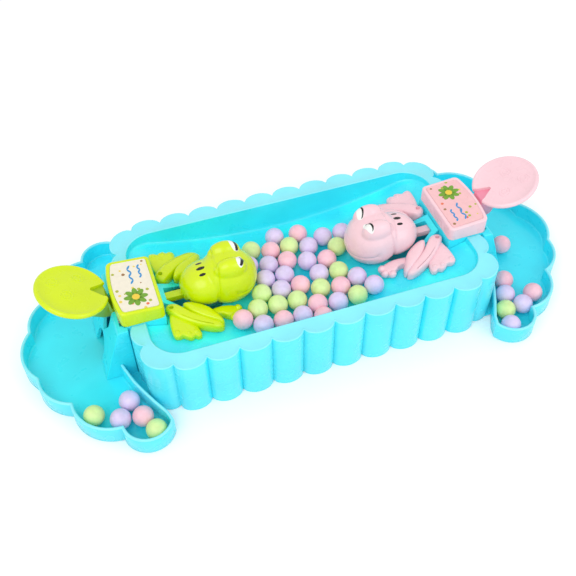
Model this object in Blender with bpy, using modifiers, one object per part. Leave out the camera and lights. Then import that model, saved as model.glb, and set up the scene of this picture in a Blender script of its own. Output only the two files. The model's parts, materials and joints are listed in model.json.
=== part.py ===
# Tabletop marble game with two press-lever frogs: a fluted oval basin with a dished
# floor, and at each end a catching tray, a lever, a sliding neck and a hinged frog.
# Metres, +Z up. The long axis is X, the green frog is at -X and the pink one at +X.
# The pieces of one end are modelled outward along +X under an empty, and the green
# end's empty is turned half round.

import math

import bmesh
import bpy
from mathutils import Matrix, Vector

FIT_GAP = 0.0003
OVERRUN = 0.002
SEAM_MERGE = 0.0001
POINT_MERGE = 0.00001

# Basin: the cusp line is the rounded rectangle on which the flutes' sharp edges stand.
RIM_HEIGHT = 0.040
CUSP_HALF_LENGTH = 0.106
CUSP_HALF_WIDTH = 0.056
CUSP_CORNER_RADIUS = 0.019
FLUTE_DEPTH = 0.0051
FLUTE_STEPS = 5
FLUTE_SHARES = (0.0, 0.74, 0.98, 0.98, 0.74)
END_FLUTES_PER_QUARTER = 2
CORNER_LOBE_ARC = 0.0234
LONG_FLUTES_PER_QUARTER = 5
SHELL_WALL = 0.002
RIM_ROUND = 0.0008
END_RIM_WIDTH = 0.005
SIDE_RIM_WIDTH = 0.0073
CORNER_STEP = 0.0016
MOUTH_HALF_LENGTH = CUSP_HALF_LENGTH - END_RIM_WIDTH
MOUTH_HALF_WIDTH = CUSP_HALF_WIDTH - SIDE_RIM_WIDTH
MOUTH_CORNER_RADIUS = CUSP_CORNER_RADIUS - CORNER_STEP
WALL_DRAFT = 0.0007
FLOOR_FILLET = 0.0028
FILLET_RISE_SHARE = 0.2
BOWL_DEPTH = 0.0195
FLOOR_LOW = RIM_HEIGHT - BOWL_DEPTH
FLOOR_RISE = 0.016
FLOOR_INSET = 0.0015
FLOOR_HALF_LENGTH = MOUTH_HALF_LENGTH - FLOOR_INSET

# The housing stands this far inside the cusp line, and the port ends just before it.
HOUSING_REACH = 0.017
HOUSING_INNER_U = CUSP_HALF_LENGTH - HOUSING_REACH

# Port in the floor under the frog: a round mouth that tapers to the neck's slot.
PORT_CENTRE_U = CUSP_HALF_LENGTH - 0.044
PORT_RADIUS = 0.0135
PORT_STEPS = 12
PORT_ARC_START_DEG = 42
PORT_TAPER_U = HOUSING_INNER_U - 0.012
PORT_TAPER_HALF = 0.0085
PORT_SLOT_U = HOUSING_INNER_U - 0.0035
PORT_SLOT_HALF = 0.0047
COLLAR_WIDTH = 0.0029
COLLAR_START_U = HOUSING_INNER_U - 0.010
COLLAR_START_HALF = 0.0104
COLLAR_FOOT_RISE = 0.0006
COLLAR_REAR_Z = RIM_HEIGHT - 0.0024

# Housing: sits in a cut-out of the basin's end, and its outer part is the sloped hood.
HOUSING_HALF_WIDTH = 0.0212
HOUSING_WALL = 0.002
HOUSING_SILL = RIM_HEIGHT - 0.0118
HOOD_START_U = CUSP_HALF_LENGTH + 0.0055
HOOD_HALF_WIDTH = HOUSING_HALF_WIDTH + 0.0031
HOOD_TOP_U = HOOD_START_U + 0.0065
HOOD_TOP_DROP = 0.0010
HOOD_FOOT_U = HOOD_TOP_U + 0.013
SLOT_APEX_Z = RIM_HEIGHT - 0.0217
SLOT_SHOULDER_Z = RIM_HEIGHT - 0.0115
SLOT_HALF_WIDTH = 0.0075
EXIT_HALF_WIDTH = 0.0085
EXIT_SPRING_Z = 0.0080
NECK_MOUTH_HALF = 0.0029
NECK_MOUTH_CLEARANCE = 0.0004
LUG_HALF_LENGTH = 0.0038
LUG_INNER_V = 0.0167
LUG_OUTER_V = HOUSING_HALF_WIDTH - HOUSING_WALL
LUG_LOW_Z = RIM_HEIGHT - 0.006
LUG_TOP_Z = RIM_HEIGHT + 0.0036
LEDGE_END_U = HOUSING_INNER_U + 0.0067
LEDGE_INNER_V = 0.0134
LEDGE_THICKNESS = 0.003
SHELF_START_U = HOOD_START_U - 0.0023
SHELF_END_U = HOOD_START_U + 0.0051
SHELF_TOP_Z = RIM_HEIGHT - 0.018
SHELF_THICKNESS = 0.0012

# Tray: arcs between cusps, given as u, v and the bulge of the arc that ends there.
TRAY_WALL_HEIGHT = 0.013
TRAY_WALL = 0.0018
TRAY_CUSPS = (
    (CUSP_HALF_LENGTH + 0.0624, 0.0183, 0.0066),
    (CUSP_HALF_LENGTH + 0.0468, 0.0421, 0.0047),
    (CUSP_HALF_LENGTH + 0.0226, 0.0668, 0.007),
    (CUSP_HALF_LENGTH - 0.0060, 0.0705, 0.0112),
)
TRAY_INNER_PATH = (
    (CUSP_HALF_LENGTH - 0.0044, 0.0645),
    (CUSP_HALF_LENGTH + 0.0010, 0.0545),
    (CUSP_HALF_LENGTH + 0.0051, 0.046),
    (CUSP_HALF_LENGTH + 0.0085, 0.0385),
    (CUSP_HALF_LENGTH + 0.0112, 0.03),
    (CUSP_HALF_LENGTH + 0.0128, 0.0246),
)
TRAY_ARC_STEPS = 7

# Chute under the floor: a wide catch below the port and a narrow run into the hood.
CHUTE_START_U = PORT_CENTRE_U - 0.016
CHUTE_NECK_START_U = PORT_CENTRE_U + 0.015
CHUTE_NECK_END_U = HOUSING_INNER_U - 0.003
CHUTE_END_U = HOOD_START_U + 0.0067
CHUTE_CATCH_HALF = PORT_RADIUS + 0.0021
CHUTE_RUN_HALF = 0.0091
CHUTE_WALL = 0.0016
CHUTE_FLOOR_START_Z = FLOOR_LOW - 0.0021
CHUTE_FLOOR_END_Z = TRAY_WALL + 0.0008
CHUTE_TOP_START_Z = FLOOR_LOW + 0.0009
CHUTE_TOP_END_Z = SHELF_TOP_Z - 0.0017
EAR_U = PORT_CENTRE_U
EAR_HALF_LENGTH = 0.0042
EAR_OUTER_V = CHUTE_CATCH_HALF + 0.0084
EAR_LOW_Z = FLOOR_LOW - 0.0053
EAR_THICKNESS = 0.002
BOSS_V = CHUTE_CATCH_HALF + 0.0042
BOSS_RADIUS = 0.0031

# Label cover on the housing.
COVER_INNER_U = HOUSING_INNER_U
COVER_OUTER_U = HOOD_START_U + 0.0023
COVER_BOW = 0.0024
COVER_HALF_WIDTH = HOUSING_HALF_WIDTH + 0.0002
COVER_CORNER = 0.0028
COVER_BASE_Z = RIM_HEIGHT + FIT_GAP
COVER_TOP_INNER_Z = COVER_BASE_Z + 0.0088
COVER_TOP_OUTER_Z = COVER_BASE_Z + 0.0109
COVER_WALL = 0.0018
COVER_EDGE = 0.0007
LABEL_MARGIN = 0.0021
LABEL_RECESS = 0.0008
LABEL_THICKNESS = 0.0004
CORNER_STEPS = 4
BOW_STEPS = 6

# Lever: the pad, its wedge stem, the hub on the pivot and the two arms below.
PIVOT_U = HOUSING_INNER_U + 0.011
PIVOT_Z = RIM_HEIGHT
PRESS_DEG = 20
HUB_RADIUS = 0.0038
HUB_HALF_WIDTH = 0.0162
PIVOT_PIN_RADIUS = 0.0015
PIVOT_PIN_HALF = HOUSING_HALF_WIDTH - 0.0026
PIVOT_BORE_RADIUS = 0.0018
SADDLE_RADIUS = 0.0018
PAD_U = PIVOT_U + 0.0358
PAD_Z = PIVOT_Z + 0.017
PAD_RADIUS = 0.0205
PAD_THICKNESS = 0.0032
PAD_TILT_DEG = 20.5
PAD_LIP = 0.0005
PAD_EDGE = 0.0011
PAD_STEPS = 32
NOTCH_DEPTH = 0.0105
NOTCH_HALF_WIDTH = 0.0078
NOTCH_TIP_HALF = 0.0007
# Stations of the stem: u, top z, bottom z, half width at top, half width at bottom.
STEM_STATIONS = (
    (PIVOT_U + 0.0005, PIVOT_Z + 0.0025, PIVOT_Z - 0.0028, 0.0055, 0.005),
    (PIVOT_U + 0.0090, PIVOT_Z - 0.0006, PIVOT_Z - 0.0055, 0.0055, 0.0046),
    (PIVOT_U + 0.0168, PIVOT_Z - 0.0006, PIVOT_Z - 0.0068, 0.0055, 0.0046),
    (PIVOT_U + 0.0184, PIVOT_Z + 0.0100, PIVOT_Z - 0.0090, 0.0053, 0.0022),
    (PIVOT_U + 0.0226, PIVOT_Z + 0.0116, PIVOT_Z - 0.0098, 0.0055, 0.0012),
    (PIVOT_U + 0.0290, PIVOT_Z + 0.0138, PIVOT_Z - 0.0065, 0.0055, 0.0012),
    (PIVOT_U + 0.0370, PIVOT_Z + 0.0165, PIVOT_Z + 0.0130, 0.0045, 0.0012),
)
ARM_LENGTH = 0.026
ARM_HALF_WIDTH = 0.0025
ARM_INNER_V = 0.0143
ARM_OUTER_V = 0.0160
ARM_END = 0.0016
NUB_RADIUS = 0.0017
NUB_INNER_V = 0.0120

# Neck bar: slides in the housing and carries the frog.
NECK_HALF_WIDTH = 0.0025
NECK_LOW_Z = RIM_HEIGHT - 0.010
NECK_TOP_Z = NECK_LOW_Z + 0.004
HINGE_U = PORT_CENTRE_U + 0.010
HINGE_Z = NECK_TOP_Z
EYE_RADIUS = 0.0030
HINGE_PIN_RADIUS = 0.0010
HINGE_BORE_RADIUS = 0.0013
HINGE_PIN_HALF = 0.0058
YOKE_START_U = PIVOT_U + 0.0018
YOKE_END_U = PIVOT_U + 0.0058
YOKE_HALF_WIDTH = 0.0137
YOKE_PLATE = 0.002
PLATE_START_U = PIVOT_U + 0.0006
PLATE_END_U = PIVOT_U + 0.0084
PLATE_LOW_Z = PIVOT_Z - 0.0295
PLATE_SLOT_HALF = 0.00195
PLATE_SLOT_LOW_Z = PIVOT_Z - 0.0281
PLATE_SLOT_TOP_Z = PIVOT_Z - 0.0228

# Return spring under the stem.
SPRING_U = PIVOT_U + 0.0129
SPRING_RADIUS = 0.0027
SPRING_WIRE = 0.0005
SPRING_TURNS = 5
SPRING_STEPS = 8
SPRING_LOW_Z = SHELF_TOP_Z + 0.0009
SPRING_TOP_Z = PIVOT_Z - 0.0077

# Frog shell: u, z of the centre and half sizes along u, v and z.
HEAD = (HINGE_U - 0.0250, HINGE_Z + 0.0040, 0.018, 0.0165, 0.0172)
TORSO = (HINGE_U - 0.0118, HINGE_Z + 0.0030, 0.016, 0.0145, 0.0125)
EYE = (HINGE_U - 0.0254, HINGE_Z + 0.0166, 0.0076, 0.0062, 0.009)
EYE_V = 0.0076
FROG_WALL = 0.0018
FROG_BASE_U = HINGE_U - 0.042
FROG_BASE_Z = FLOOR_LOW + 0.0027
FROG_BASE_SLOPE_SHARE = 0.173
HEAD_SEGMENTS = 20
EYE_SEGMENTS = 10
TAIL_SLOT_START_U = HINGE_U - 0.0045
TAIL_SLOT_TOP_Z = HINGE_Z + 0.0042
EAR_LUG_INNER_V = 0.0031
EAR_LUG_OUTER_V = 0.0056
EAR_LUG_RADIUS = 0.0032

# Limbs: circles u, v, radius whose hull is one segment, on the near side.
THIGH = (
    (PORT_CENTRE_U + 0.0130, 0.0128, 0.0031),
    (PORT_CENTRE_U + 0.0048, 0.0198, 0.0048),
    (PORT_CENTRE_U - 0.0028, 0.0264, 0.0027),
)
SHIN = (
    (PORT_CENTRE_U + 0.0225, 0.0128, 0.0037),
    (PORT_CENTRE_U + 0.0105, 0.0236, 0.004),
    (PORT_CENTRE_U - 0.0018, 0.0296, 0.0026),
)
TOES = (
    (PORT_CENTRE_U + 0.0242, 0.033, 0.0026),
    (PORT_CENTRE_U + 0.0182, 0.035, 0.0026),
    (PORT_CENTRE_U + 0.0124, 0.0346, 0.0026),
)
HEEL = (PORT_CENTRE_U + 0.0195, 0.019, 0.0064)
ARM = (
    (PORT_CENTRE_U + 0.0020, 0.0195, 0.0025),
    (PORT_CENTRE_U - 0.0048, 0.018, 0.0026),
    (PORT_CENTRE_U - 0.0120, 0.0206, 0.0032),
)
FINGERS = (
    (PORT_CENTRE_U - 0.0158, 0.0182, 0.0022),
    (PORT_CENTRE_U - 0.0154, 0.0224, 0.0022),
    (PORT_CENTRE_U - 0.0114, 0.0244, 0.0022),
)
PALM = (PORT_CENTRE_U - 0.0120, 0.0208, 0.0026)
THIGH_HEIGHT = 0.0076
SHIN_HEIGHT = 0.0064
FOOT_HEIGHT = 0.0037
ARM_HEIGHT = 0.0048
TOE_HEIGHT = 0.0044
HAND_HEIGHT = 0.0036
WEB_INSET = 0.0009
FINGERTIP = 0.00245
FINGER_SEGMENTS = 8
LIMB_ROUND = 0.0011
LIMB_CIRCLE_STEPS = 7

# Screws.
COVER_SCREW_U = HOUSING_INNER_U + 0.0045
COVER_SCREW_V = 0.0164
SCREW_HEAD_RADIUS = 0.0020
SCREW_HEAD_HEIGHT = 0.0014
SCREW_SHAFT_RADIUS = 0.0010
SCREW_BORE_RADIUS = 0.0014
SCREW_REACH = 0.0060
COVER_BOSS_RADIUS = 0.0024

# Marbles: colour, x, y in the basin, and in each tray in that end's own frame.
MARBLE_RADIUS = 0.006
MARBLE_SUBDIVISION_STEPS = 2
BASIN_MARBLES = (
    ("lavender", -0.0070, 0.0313),
    ("pink", 0.0082, 0.0290),
    ("pink", -0.0132, 0.0202),
    ("green", -0.0008, 0.0204),
    ("lavender", 0.0107, 0.0160),
    ("pink", -0.0060, 0.0090),
    ("lavender", 0.0056, 0.0045),
    ("lavender", 0.0088, -0.0080),
    ("lavender", -0.0116, -0.0022),
    ("pink", -0.0052, -0.0130),
    ("green", 0.0055, -0.0194),
    ("green", -0.0111, -0.0240),
    ("pink", -0.0005, -0.0305),
)
GREEN_TRAY_MARBLES = (
    ("green", CUSP_HALF_LENGTH + 0.0355, 0.0505),
    ("lavender", CUSP_HALF_LENGTH + 0.0219, 0.0577),
    ("lavender", CUSP_HALF_LENGTH + 0.0148, 0.0474),
    ("pink", CUSP_HALF_LENGTH + 0.0096, 0.0600),
    ("green", CUSP_HALF_LENGTH + 0.0044, 0.0709),
)
PINK_TRAY_MARBLES = (
    ("pink", CUSP_HALF_LENGTH + 0.0330, -0.0084),
    ("pink", CUSP_HALF_LENGTH + 0.0186, -0.0370),
    ("lavender", CUSP_HALF_LENGTH + 0.0136, -0.0480),
    ("green", CUSP_HALF_LENGTH + 0.0076, -0.0593),
    ("lavender", CUSP_HALF_LENGTH + 0.0046, -0.0710),
    ("lavender", CUSP_HALF_LENGTH + 0.0199, -0.0588),
    ("pink", CUSP_HALF_LENGTH + 0.0306, -0.0525),
)

BORE_STEPS = 10
PIN_STEPS = 12

COLOURS = {
    "basin_blue": (0.075, 0.80, 0.93),
    "green": (0.66, 0.80, 0.015),
    "pink": (0.94, 0.60, 0.68),
    "label_cream": (0.87, 0.82, 0.72),
    "label_pink": (0.93, 0.58, 0.60),
    "marble_lavender": (0.74, 0.64, 0.88),
    "marble_pink": (0.95, 0.58, 0.70),
    "marble_green": (0.68, 0.88, 0.36),
    "steel": (0.62, 0.63, 0.65),
}


# Scene and materials

def clear_scene():
    for obj in list(bpy.data.objects):
        bpy.data.objects.remove(obj, do_unlink=True)


def make_collection(name, hidden=False):
    collection = bpy.data.collections.new(name)
    bpy.context.scene.collection.children.link(collection)
    collection.hide_render = hidden
    return collection


def material(name):
    found = bpy.data.materials.get(name)
    if found:
        return found
    made = bpy.data.materials.new(name)
    made.use_nodes = True
    shader = made.node_tree.nodes["Principled BSDF"]
    shader.inputs["Base Color"].default_value = (*COLOURS[name], 1.0)
    steel = name == "steel"
    shader.inputs["Metallic"].default_value = 1.0 if steel else 0.0
    shader.inputs["Roughness"].default_value = 0.3 if steel else 0.35
    return made


def new_object(name, bm, collection):
    bmesh.ops.recalc_face_normals(bm, faces=bm.faces)
    mesh = bpy.data.meshes.new(name)
    bm.to_mesh(mesh)
    bm.free()
    obj = bpy.data.objects.new(name, mesh)
    collection.objects.link(obj)
    return obj


def piece(name, bm):
    return new_object(name, bm, PARTS)


def tool(name, bm):
    obj = new_object(name, bm, CUTTERS)
    obj.display_type = "WIRE"
    obj.hide_render = True
    return obj


# Outlines in plan, counter-clockwise

def inset(outline, distance):
    """The outline moved inward by the distance, with mitred corners."""
    moved = []
    for index, point in enumerate(outline):
        before = Vector(outline[index - 1])
        here = Vector(point)
        after = Vector(outline[(index + 1) % len(outline)])
        first = (here - before).normalized()
        second = (after - here).normalized()
        normal_one = Vector((-first.y, first.x))
        normal_two = Vector((-second.y, second.x))
        mitre = normal_one + normal_two
        scale = 2.0 * distance / mitre.length_squared
        moved.append(tuple(here + mitre * scale))
    return moved


def arc_between(start, end, bulge, steps):
    """Points of the arc from start to end that stands out by the bulge on its right."""
    start, end = Vector(start), Vector(end)
    half = (end - start) / 2.0
    across = Vector((half.y, -half.x)).normalized()
    radius = (half.length_squared + bulge * bulge) / (2.0 * bulge)
    centre = start + half + across * (bulge - radius)
    sweep = 2.0 * math.atan2(half.length, radius - bulge)
    ray = start - centre
    points = []
    for step in range(steps):
        turned = Matrix.Rotation(sweep * step / steps, 2) @ ray
        points.append(tuple(centre + turned))
    return points


def hull_of_circles(circles, shrink):
    """Convex outline round the circles, each made smaller by shrink."""
    points = []
    for u, v, radius in circles:
        for step in range(LIMB_CIRCLE_STEPS):
            angle = math.tau * step / LIMB_CIRCLE_STEPS
            reach = radius - shrink
            points.append((u + reach * math.cos(angle), v + reach * math.sin(angle)))
    points.sort()
    hull = []
    for run in (points, points[::-1]):
        side = []
        for point in run:
            while len(side) > 1 and turn(side[-2], side[-1], point) <= 0:
                side.pop()
            side.append(point)
        hull += side[:-1]
    return hull


def turn(a, b, c):
    return (b[0] - a[0]) * (c[1] - a[1]) - (b[1] - a[1]) * (c[0] - a[0])


def mirrored(half):
    """Closes an outline whose half runs on the +V side."""
    return list(half) + [(u, -v) for u, v in reversed(half)]


def floor_z(u):
    return FLOOR_LOW + FLOOR_RISE * (u / FLOOR_HALF_LENGTH) ** 2


# Solids

def loft(bm, rings, closed=True):
    """Skins the rings in turn, and caps the first and the last."""
    rows = [[bm.verts.new(point) for point in ring] for ring in rings]
    for low, high in zip(rows, rows[1:]):
        for index in range(len(low)):
            after = (index + 1) % len(low)
            bm.faces.new((low[index], low[after], high[after], high[index]))
    if closed:
        bm.faces.new(rows[0][::-1])
        bm.faces.new(rows[-1])
    return rows


def prism(outline, low, high, edge=0.0):
    """A solid over the outline; low and high are heights, or functions of u."""
    bottom = low if callable(low) else lambda u: low
    top = high if callable(high) else lambda u: high
    rings = [[(u, v, bottom(u)) for u, v in outline]]
    if edge:
        rings.append([(u, v, top(u) - edge) for u, v in outline])
        rings.append([(u, v, top(u)) for u, v in inset(outline, edge)])
    else:
        rings.append([(u, v, top(u)) for u, v in outline])
    bm = bmesh.new()
    loft(bm, rings)
    return bm


def block(low, high):
    bm = bmesh.new()
    bmesh.ops.create_cube(bm, size=1.0)
    size = Vector(high) - Vector(low)
    middle = (Vector(high) + Vector(low)) / 2.0
    bmesh.ops.scale(bm, vec=size, verts=bm.verts)
    bmesh.ops.translate(bm, vec=middle, verts=bm.verts)
    return bm


def rod(centre, radius, length, axis, steps):
    bm = bmesh.new()
    bmesh.ops.create_cone(
        bm, cap_ends=True, segments=steps, radius1=radius, radius2=radius, depth=length
    )
    if axis == "Y":
        quarter = Matrix.Rotation(math.pi / 2.0, 4, "X")
        bmesh.ops.transform(bm, matrix=quarter, verts=bm.verts)
    bmesh.ops.translate(bm, vec=Vector(centre), verts=bm.verts)
    return bm


def ellipsoid(shape, v, less, segments):
    u, z, half_u, half_v, half_z = shape
    bm = bmesh.new()
    bmesh.ops.create_uvsphere(
        bm, u_segments=segments, v_segments=segments // 2, radius=1.0
    )
    size = Vector((half_u - less, half_v - less, half_z - less))
    bmesh.ops.scale(bm, vec=size, verts=bm.verts)
    bmesh.ops.translate(bm, vec=Vector((u, v, z)), verts=bm.verts)
    return bm


def side_prism(profile, half_width):
    """A solid with this profile in u and z, standing as far to both sides."""
    bm = bmesh.new()
    loft(bm, [[(u, side * half_width, z) for u, z in profile] for side in (-1.0, 1.0)])
    return bm


def combine(obj, other, operation):
    modifier = obj.modifiers.new(other.name, "BOOLEAN")
    modifier.operation = operation
    modifier.solver = "EXACT"
    modifier.object = other


def cut(obj, name, bm):
    combine(obj, tool(name, bm), "DIFFERENCE")


def join(obj, name, bm):
    combine(obj, tool(name, bm), "UNION")


def bake(obj):
    """Applies the modifiers, so that the mesh can be edited again."""
    bpy.context.view_layer.update()
    graph = bpy.context.evaluated_depsgraph_get()
    baked = bpy.data.meshes.new_from_object(obj.evaluated_get(graph))
    obj.modifiers.clear()
    obj.data = baked


def finish(obj, colour, pivot=(0.0, 0.0, 0.0), smooth_deg=35):
    """Applies the modifiers, sets the origin and gives the piece its material."""
    bake(obj)
    obj.data.transform(Matrix.Translation(-Vector(pivot)))
    obj.location = pivot
    obj.data.materials.clear()
    obj.data.materials.append(material(colour))
    obj.data.shade_smooth()
    obj.data.set_sharp_from_angle(angle=math.radians(smooth_deg))
    return obj


# Basin

def quarter_ring(half_length, half_width, radius, bulge):
    """One quarter of a ring, from the end's middle to the long side's middle."""
    end_run = CUSP_HALF_WIDTH - CUSP_CORNER_RADIUS
    arc_run = CUSP_CORNER_RADIUS * math.pi / 2.0
    long_run = CUSP_HALF_LENGTH - CUSP_CORNER_RADIUS
    flutes = [end_run / END_FLUTES_PER_QUARTER] * END_FLUTES_PER_QUARTER
    flutes.append(CORNER_LOBE_ARC)
    rest = end_run + arc_run + long_run - end_run - CORNER_LOBE_ARC
    flutes += [rest / LONG_FLUTES_PER_QUARTER] * LONG_FLUTES_PER_QUARTER
    points = []
    start = 0.0
    for width in flutes:
        for step in range(FLUTE_STEPS):
            along = start + width * step / FLUTE_STEPS
            out = bulge(FLUTE_SHARES[step] * FLUTE_DEPTH)
            if along < end_run:
                share = along / end_run
                points.append((half_length + out, share * (half_width - radius)))
            elif along < end_run + arc_run:
                angle = (along - end_run) / CUSP_CORNER_RADIUS
                reach = radius + out
                points.append(
                    (
                        half_length - radius + reach * math.cos(angle),
                        half_width - radius + reach * math.sin(angle),
                    )
                )
            else:
                share = (along - end_run - arc_run) / long_run
                points.append(
                    ((half_length - radius) * (1.0 - share), half_width + out)
                )
        start += width
    points.append((0.0, half_width + bulge(0.0)))
    return points


def whole_ring(quarter, height):
    """Mirrors a quarter to the whole ring; height is a number or a function of x."""
    half = quarter + [(-x, y) for x, y in reversed(quarter[:-1])]
    ring = half + [(x, -y) for x, y in reversed(half[1:-1])]
    at = height if callable(height) else lambda x: height
    return [(x, y, at(x)) for x, y in ring]


def fluted(less, height):
    quarter = quarter_ring(
        CUSP_HALF_LENGTH, CUSP_HALF_WIDTH, CUSP_CORNER_RADIUS, lambda out: out - less
    )
    return whole_ring(quarter, height)


def plain(less, height):
    quarter = quarter_ring(
        MOUTH_HALF_LENGTH - less,
        MOUTH_HALF_WIDTH - less,
        MOUTH_CORNER_RADIUS - less,
        lambda out: 0.0,
    )
    return whole_ring(quarter, height)


def fillet_z(x):
    return floor_z(x) + FILLET_RISE_SHARE * (RIM_HEIGHT - floor_z(x))


def basin_shell():
    rings = [
        plain(FLOOR_FILLET, floor_z),
        plain(WALL_DRAFT, fillet_z),
        plain(0.0, RIM_HEIGHT),
        fluted(RIM_ROUND, RIM_HEIGHT),
        fluted(0.0, RIM_HEIGHT - RIM_ROUND),
        fluted(0.0, 0.0),
        fluted(SHELL_WALL, 0.0),
        fluted(SHELL_WALL, RIM_HEIGHT - SHELL_WALL),
        plain(-SHELL_WALL, RIM_HEIGHT - SHELL_WALL),
        plain(WALL_DRAFT - SHELL_WALL, lambda x: fillet_z(x) - SHELL_WALL),
        plain(FLOOR_FILLET, lambda x: floor_z(x) - SHELL_WALL),
    ]
    bm = bmesh.new()
    rows = loft(bm, rings, closed=False)
    for row in (rows[0], rows[-1]):
        cap_across(bm, row)
    return bm


def cap_across(bm, row):
    """Fills a ring with strips that run straight across from side to side."""
    half = len(row) // 2
    straight = sum(1 for vert in row[1:half] if abs(vert.co.x - row[0].co.x) < FIT_GAP)
    first = straight + 1
    last = half - first
    bm.faces.new([row[index] for index in range(-first, first + 1)])
    for index in range(first, last):
        bm.faces.new((row[index], row[index + 1], row[-index - 1], row[-index]))
    bm.faces.new([row[index] for index in range(last, half + first + 1)])


def port_outline(grow):
    start = math.radians(PORT_ARC_START_DEG)
    points = []
    for step in range(PORT_STEPS + 1):
        angle = start + (math.pi - start) * 2.0 * step / PORT_STEPS
        reach = PORT_RADIUS + grow
        points.append((PORT_CENTRE_U + reach * math.cos(angle), reach * math.sin(angle)))
    points.append((PORT_TAPER_U, -PORT_TAPER_HALF - grow))
    points.append((PORT_SLOT_U + grow, -PORT_SLOT_HALF - grow))
    points.append((PORT_SLOT_U + grow, PORT_SLOT_HALF + grow))
    points.append((PORT_TAPER_U, PORT_TAPER_HALF + grow))
    return points


def collar_z(u):
    """Top of the collar, a straight ramp up to the housing."""
    foot = floor_z(COLLAR_START_U) + COLLAR_FOOT_RISE
    rear_u = PORT_SLOT_U + COLLAR_WIDTH
    share = (u - COLLAR_START_U) / (rear_u - COLLAR_START_U)
    return foot + share * (COLLAR_REAR_Z - foot)


def build_basin():
    basin = piece("basin", basin_shell())
    slot_half = PORT_SLOT_HALF + COLLAR_WIDTH
    collar = [
        (COLLAR_START_U, COLLAR_START_HALF),
        (COLLAR_START_U, -COLLAR_START_HALF),
        (PORT_SLOT_U + COLLAR_WIDTH, -slot_half),
        (PORT_SLOT_U + COLLAR_WIDTH, slot_half),
    ]
    for side, name in ((1.0, "pink"), (-1.0, "green")):
        turned = Matrix.Rotation(0.0 if side > 0 else math.pi, 4, "Z")
        lip = prism(collar, floor_z(COLLAR_START_U) - SHELL_WALL / 2.0, collar_z)
        tools = [("collar", lip, "UNION")]
        for v in (BOSS_V, -BOSS_V):
            low = EAR_LOW_Z + EAR_THICKNESS + FIT_GAP
            top = floor_z(EAR_U) - SHELL_WALL / 2.0
            boss = rod(
                (EAR_U, v, (low + top) / 2.0), BOSS_RADIUS, top - low, "Z", BORE_STEPS
            )
            bore_top = low + SCREW_REACH
            bore = rod(
                (EAR_U, v, (low - OVERRUN + bore_top) / 2.0),
                SCREW_BORE_RADIUS,
                bore_top - low + OVERRUN,
                "Z",
                BORE_STEPS,
            )
            tools.append(("boss", boss, "UNION"))
            tools.append(("boss_bore", bore, "DIFFERENCE"))
        port = prism(port_outline(0.0), EAR_LOW_Z, RIM_HEIGHT)
        tools.append(("port", port, "DIFFERENCE"))
        tunnel = block(
            (PORT_TAPER_U, -NECK_MOUTH_HALF, HOUSING_SILL),
            (HOUSING_INNER_U, NECK_MOUTH_HALF, NECK_TOP_Z + NECK_MOUTH_CLEARANCE),
        )
        tools.append(("neck_tunnel", tunnel, "DIFFERENCE"))
        room = block(
            (HOUSING_INNER_U - FIT_GAP, -HOUSING_HALF_WIDTH - FIT_GAP, -OVERRUN),
            (HOOD_FOOT_U, HOUSING_HALF_WIDTH + FIT_GAP, RIM_HEIGHT + OVERRUN),
        )
        tools.append(("housing_room", room, "DIFFERENCE"))
        for kind, bm, operation in tools:
            bmesh.ops.transform(bm, matrix=turned, verts=bm.verts)
            combine(basin, tool(name + "_" + kind, bm), operation)
    return finish(basin, "basin_blue")


# The pieces of one end

def build_tray(name):
    half = []
    start = (TRAY_CUSPS[0][0], -TRAY_CUSPS[0][1])
    half += arc_between(start, TRAY_CUSPS[0][:2], TRAY_CUSPS[0][2], TRAY_ARC_STEPS)
    upper = []
    for before, after in zip(TRAY_CUSPS, TRAY_CUSPS[1:]):
        upper += arc_between(before[:2], after[:2], after[2], TRAY_ARC_STEPS)
    upper.append(TRAY_CUSPS[-1][:2])
    upper += list(TRAY_INNER_PATH)
    lower = [(u, -v) for u, v in reversed(upper)]
    outline = half[1:] + upper + lower
    inner = inset(outline, TRAY_WALL)
    rings = (
        (inner, TRAY_WALL),
        (inner, TRAY_WALL_HEIGHT),
        (outline, TRAY_WALL_HEIGHT),
        (outline, 0.0),
    )
    bm = bmesh.new()
    loft(bm, [[(u, v, z) for u, v in ring] for ring, z in rings])
    tray = piece(name, bm)
    gate_u, gate_v = TRAY_INNER_PATH[-1]
    gate = block(
        (gate_u - OVERRUN, -gate_v, TRAY_WALL),
        (gate_u + 2.0 * OVERRUN, gate_v, TRAY_WALL_HEIGHT + OVERRUN),
    )
    cut(tray, name + "_gate", gate)
    return finish(tray, "basin_blue", smooth_deg=30)


def hood_profile(less):
    """Side profile of the hood in u and z; less is the wall taken off."""
    slope = (HOOD_FOOT_U - HOOD_TOP_U) / (RIM_HEIGHT - HOOD_TOP_DROP)
    slant = less * math.hypot(1.0, slope)
    top = RIM_HEIGHT - less
    foot = TRAY_WALL + FIT_GAP - (OVERRUN if less else 0.0)
    front = HOOD_START_U + less
    base = foot if less else 0.0
    return [
        (front, -OVERRUN if less else base),
        (CHUTE_END_U, -OVERRUN if less else base),
        (CHUTE_END_U, foot),
        (HOOD_FOOT_U - slant - foot * slope, foot),
        (HOOD_TOP_U - slant + less * slope, top - (0.0 if less else HOOD_TOP_DROP)),
        (HOOD_TOP_U - slant - HOOD_TOP_DROP, top),
        (front, top),
    ]


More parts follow.
